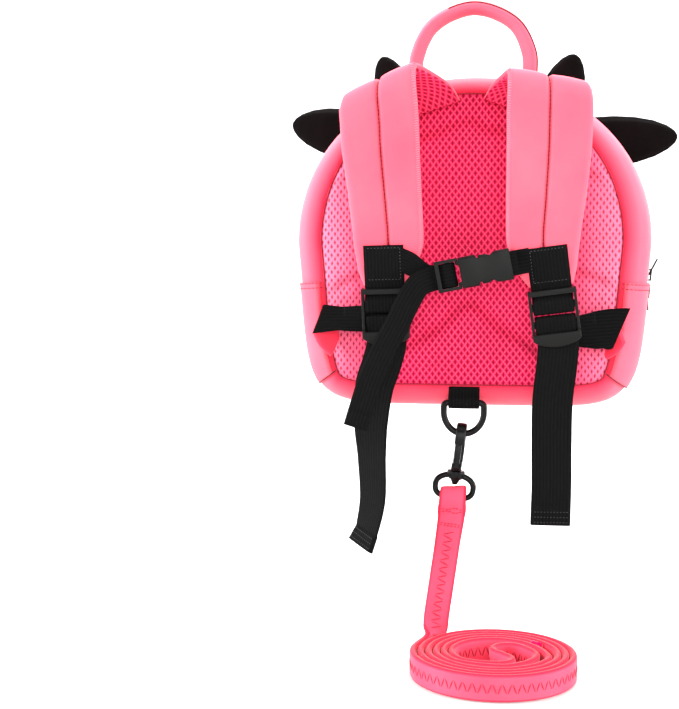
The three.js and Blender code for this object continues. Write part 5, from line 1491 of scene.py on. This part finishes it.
def leash_rows():
    eye = hook.at(0, EYE_MIDDLE - (EYE_HEIGHT - EYE_WIRE) / 2, 0)
    t = LEASH_THICKNESS * LOOP_THIN
    around = EYE_WIRE / 2 + GAP + t / 2
    over = around + 2
    sewn = t / 2 + 0.2
    tilt = HOOK_TILT * LEASH_TILT_SHARE
    right = heading(tilt)
    down = heading(-90 - tilt)
    loop = [(-sewn, 12, 1.06), (-sewn - 0.3, 8, 1.12), (-around, 2.5, 1.04), (-around, -over * 0.5, 1.02),
            (-0.6 * around, -over * 0.92, 1.02), (0, -over, 1.02), (0.6 * around, -over * 0.92, 1.02),
            (around, -over * 0.5, 1.02), (around, 2.5, 1.04), (sewn + 0.3, 8, 1.12), (sewn, 12, 1.06)]
    rows = [knot(eye + vec(0, -y, 0) + down * low, right, width, LOOP_THIN) for y, low, width in loop]
    level = eye[2] - LEASH_DROP - LEASH_WIDTH / 2
    start = rad(COIL_START)
    tangent = vec(-math.sin(start), math.cos(start), 0)
    inward = vec(-tangent[1], tangent[0], 0)
    first = coil_point(0, True)
    bend_end = vec(COIL_X + first[0], COIL_Y + first[1], level)
    bend_start = bend_end - tangent * BEND_RADIUS + vec(0, 0, BEND_RADIUS)
    twist_start = math.atan2(-tangent[0], inward[0])
    last = rows[-1]["at"]
    for share in (0.25, 0.6):
        rows.append(knot(lerp(last, bend_start, share), lerp(right, vec(1, 0, 0), share)))
    for degrees in range(0, 81, 10):
        turn = rad(degrees)
        at = bend_start + tangent * BEND_RADIUS * (1 - math.cos(turn))
        at = at - vec(0, 0, BEND_RADIUS * math.sin(turn))
        flat = vec(0, 0, -math.sin(turn)) - tangent * math.cos(turn)
        twist = lerp(twist_start, math.pi / 2, float(smoothstep(degrees, 0, 55)))
        rows.append(knot(at, inward * math.cos(twist) + flat * math.sin(twist)))
    return rows + [knot(vec(COIL_X + p[0], COIL_Y + p[1], level), vec(0, 0, -1)) for p in coil_plan()]


leash_run = run_through(leash_rows(), 640, ("width", "thick"))


def leash_section(i):
    """A stuffed flat strap with rounded edges and a shallow channel under its stitching."""
    w = LEASH_WIDTH * leash_run["width"][i] / 2
    t = LEASH_THICKNESS * leash_run["thick"][i] / 2
    rim = np.array([(1, 0.1), (0.985, 0.45), (0.95, 0.72), (0.88, 0.9)])
    shares = np.concatenate([-rim[:, 0], np.linspace(-0.78, 0.78, 13), rim[::-1, 0]])
    edge = np.concatenate([rim[:, 1], np.ones(13), rim[::-1, 1]])
    channel = 1 - 0.12 * bell(shares, 0, 0.3)
    top = np.stack([shares * w, t * edge * channel], axis=1)
    return np.vstack([top, top[::-1] * [1, -1]])


dress(strip("tether", leash_run, leash_section), LEASH_PINK, replaces=["leash"])

# Zigzag along both faces of the tether, the seam under its loop and its bound end
ZIGZAG_PITCH = 5.6
ZIGZAG_REACH = 3.8
LOOP_LENGTH = 2 * 24.0
BOUND_END = 8.0


def zigzag(side):
    parts = []
    places = np.arange(LOOP_LENGTH + 2.0, leash_run["s"][-1] - BOUND_END, ZIGZAG_PITCH / 2)
    lift = LEASH_THICKNESS / 2 * 0.9
    for k, (a, b) in enumerate(zip(places[:-1], places[1:])):
        sign = 1 if k % 2 else -1
        start, _, out = on_run(leash_run, a, -sign * ZIGZAG_REACH, side * lift)
        end, _, _ = on_run(leash_run, b, sign * ZIGZAG_REACH, side * lift)
        parts.append(thread_bit(start, end, out * side, 0.3))
    return parts


def loop_stitches():
    """Rows of untidy stitches across the sewn loop, on its front."""
    w = LEASH_WIDTH / 2 - 1.4
    lift = LEASH_THICKNESS * LOOP_THIN / 2 + 0.1
    parts = []
    for back, sway in ((13.0, 0.7), (10.4, -0.9), (2.6, 0.3), (1.2, 0.0)):
        place = LOOP_LENGTH - back
        path = [(place, -w), (place + sway, -w / 3), (place - sway, w / 3), (place + sway, w)]
        parts += sew(leash_run, path, lift, 1.7, 0.6, 0.28)
    return parts


def bound_end():
    keep = leash_run["s"] > leash_run["s"][-1] - BOUND_END
    end = {key: value[keep] if isinstance(value, np.ndarray) else value for key, value in leash_run.items()}
    last = end["at"][-1] + end["along"][-1] * 0.5
    end = {**end, "at": np.vstack([end["at"][:-1], last])}
    section = rounded_section(LEASH_WIDTH + 0.7, LEASH_THICKNESS + 0.35, 12, 0.0, 5)
    return strip("tether_end", end, lambda _: section)


for sign, face in ((1, "front"), (-1, "back")):
    dress(joined("tether_zigzag_" + face, zigzag(sign)), LEASH_THREAD)
dress(joined("tether_loop_stitches", loop_stitches()), LEASH_THREAD)
dress(bound_end(), HOT_PINK)

# Horns. Columns: root as shares of the half width and of the body's height, direction of
# the tip in degrees from +X, and length and width as shares
HORN_LENGTH = 44.0
HORN_WIDTH = 33.0
HORN_THICKNESS = 11.0
HORN_ROWS = {
    "horn_upper_left": (-0.44, 0.088, 111, 0.97, 0.9),
    "horn_upper_right": (0.45, 0.092, 71, 0.96, 0.97),
    "horn_side_left": (-0.74, 0.15, 169, 1.0, 1.04),
    "horn_side_right": (0.69, 0.181, 4, 1.23, 1.04),
}

# Columns: share of the horn's length, and its width and thickness there as shares
HORN_PROFILE = np.array([
    (0.0, 1.0, 0.9), (0.25, 0.98, 1.0), (0.5, 0.88, 0.95), (0.72, 0.7, 0.8), (0.88, 0.47, 0.62),
    (0.97, 0.25, 0.4), (1.0, 0.08, 0.2),
])


def make_horn(name):
    x, z, turn, length, width = HORN_ROWS[name]
    root = vec(x * HALF_WIDTH, FRONT_RIM + HORN_THICKNESS / 2 + 0.8, -(BODY_TOP + z * BODY_TAIL))
    shares = np.concatenate([np.linspace(0, 0.9, 46), 1 - 0.1 * np.cos(np.linspace(0, math.pi / 2, 16))[1:]])
    s = shares * HORN_LENGTH * length
    across = np.tile(heading(turn + 90), (len(s), 1))
    run = aimed({"at": root + s[:, None] * heading(turn), "across": across, "s": s, "folded": False})
    wide = np.interp(shares, HORN_PROFILE[:, 0], HORN_PROFILE[:, 1]) * HORN_WIDTH * width
    thick = np.interp(shares, HORN_PROFILE[:, 0], HORN_PROFILE[:, 2]) * HORN_THICKNESS

    def section(i):
        flat = oval_section(wide[i], thick[i], 36, 2.1)
        sewn = 0.1 * thick[i] * bell(np.abs(flat[:, 0]) / (wide[i] / 2), 0.93, 0.05)
        flat[:, 1] -= np.sign(flat[:, 1]) * sewn
        return flat
    return strip(name + "_cloth", run, section)


for name in HORN_ROWS:
    dress(make_horn(name), HORN, replaces=[name])

# Stage: a pale floor and backdrop, soft lights and the camera at the photograph's angle
FLOOR_LEVEL = size_of("leash")[0][2] - 0.5
PHOTO_WIDTH = 679
PHOTO_HEIGHT = 709
FOCAL_PIXELS = 1390.0
SENSOR = 36.0
CAMERA_TURN = 3.0
CAMERA_DISTANCE = 900.0
BAG_COLUMN = 472.0
HORIZON_ROW = 242.5
HANDLE_ROW = 20.4
camera_level = -(HORIZON_ROW - HANDLE_ROW) * CAMERA_DISTANCE / FOCAL_PIXELS
camera_yaw = CAMERA_TURN + math.degrees(math.atan((BAG_COLUMN - PHOTO_WIDTH / 2) / FOCAL_PIXELS))
camera_pitch = -math.degrees(math.atan((PHOTO_HEIGHT / 2 - HORIZON_ROW) / FOCAL_PIXELS))

camera_data = bpy.data.cameras.new("camera")
camera_data.sensor_width = SENSOR
camera_data.sensor_height = SENSOR
camera_data.lens = FOCAL_PIXELS * SENSOR / PHOTO_HEIGHT
camera_data.clip_start = 0.01
camera_data.clip_end = 20
camera = bpy.data.objects.new("camera", camera_data)
camera.location = Vector((CAMERA_DISTANCE * math.sin(rad(CAMERA_TURN)),
                          -CAMERA_DISTANCE * math.cos(rad(CAMERA_TURN)), camera_level)) * MM
camera.rotation_euler = (rad(90 + camera_pitch), 0, rad(camera_yaw))
bpy.context.scene.collection.objects.link(camera)
bpy.context.scene.camera = camera


def backdrop():
    """A floor that curves up into a wall behind the bag."""
    width, near, far, radius, height = 6000.0, -3000.0, 900.0, 700.0, 3000.0
    profile = [(near, 0.0), (far - radius, 0.0)]
    for turn in range(10, 91, 10):
        profile.append((far - radius * (1 - math.sin(rad(turn))), radius * (1 - math.cos(rad(turn)))))
    profile.append((far, height))
    verts = [(x, y, FLOOR_LEVEL + z) for x in (-width / 2, width / 2) for y, z in profile]
    n = len(profile)
    return build("backdrop", verts, [(k, k + 1, n + k + 1, n + k) for k in range(n - 1)])


stage_paper = Nodes("stage_paper")
for key, value in (("Base Color", (0.45, 0.45, 0.45, 1)), ("Roughness", 0.9),
                   ("Emission Color", (1, 1, 1, 1)), ("Emission Strength", 0.3)):
    stage_paper.shader.inputs[key].default_value = value
floor = backdrop()
floor.data.materials.append(stage_paper.material)

# Lights: place in metres, size in metres and power in watts
LIGHTS = {
    "left_light": ((-1.6, -0.45, 0.15), 1.0, 70.0),
    "right_light": ((1.6, -0.45, 0.15), 1.0, 50.0),
    "back_light": ((0.0, 0.6, 1.15), 1.0, 85.0),
    "top_light": ((0.0, -0.4, 1.35), 1.0, 8.0),
    "front_light": ((0.2, -1.9, 0.3), 1.2, 26.0),
}
LIGHT_AIM = (0.0, 0.0, -0.2)

for name, (at, size, power) in LIGHTS.items():
    data = bpy.data.lights.new(name, "AREA")
    data.shape = "SQUARE"
    data.size = size
    data.energy = power
    light = bpy.data.objects.new(name, data)
    light.location = at
    light.rotation_euler = (Vector(LIGHT_AIM) - Vector(at)).to_track_quat("-Z", "Y").to_euler()
    bpy.context.scene.collection.objects.link(light)

world = bpy.data.worlds.new("studio")
world.use_nodes = True
world.node_tree.nodes["Background"].inputs["Color"].default_value = (1, 1, 1, 1)
world.node_tree.nodes["Background"].inputs["Strength"].default_value = 0.3
bpy.context.scene.world = world
bpy.context.scene.view_settings.view_transform = "Standard"
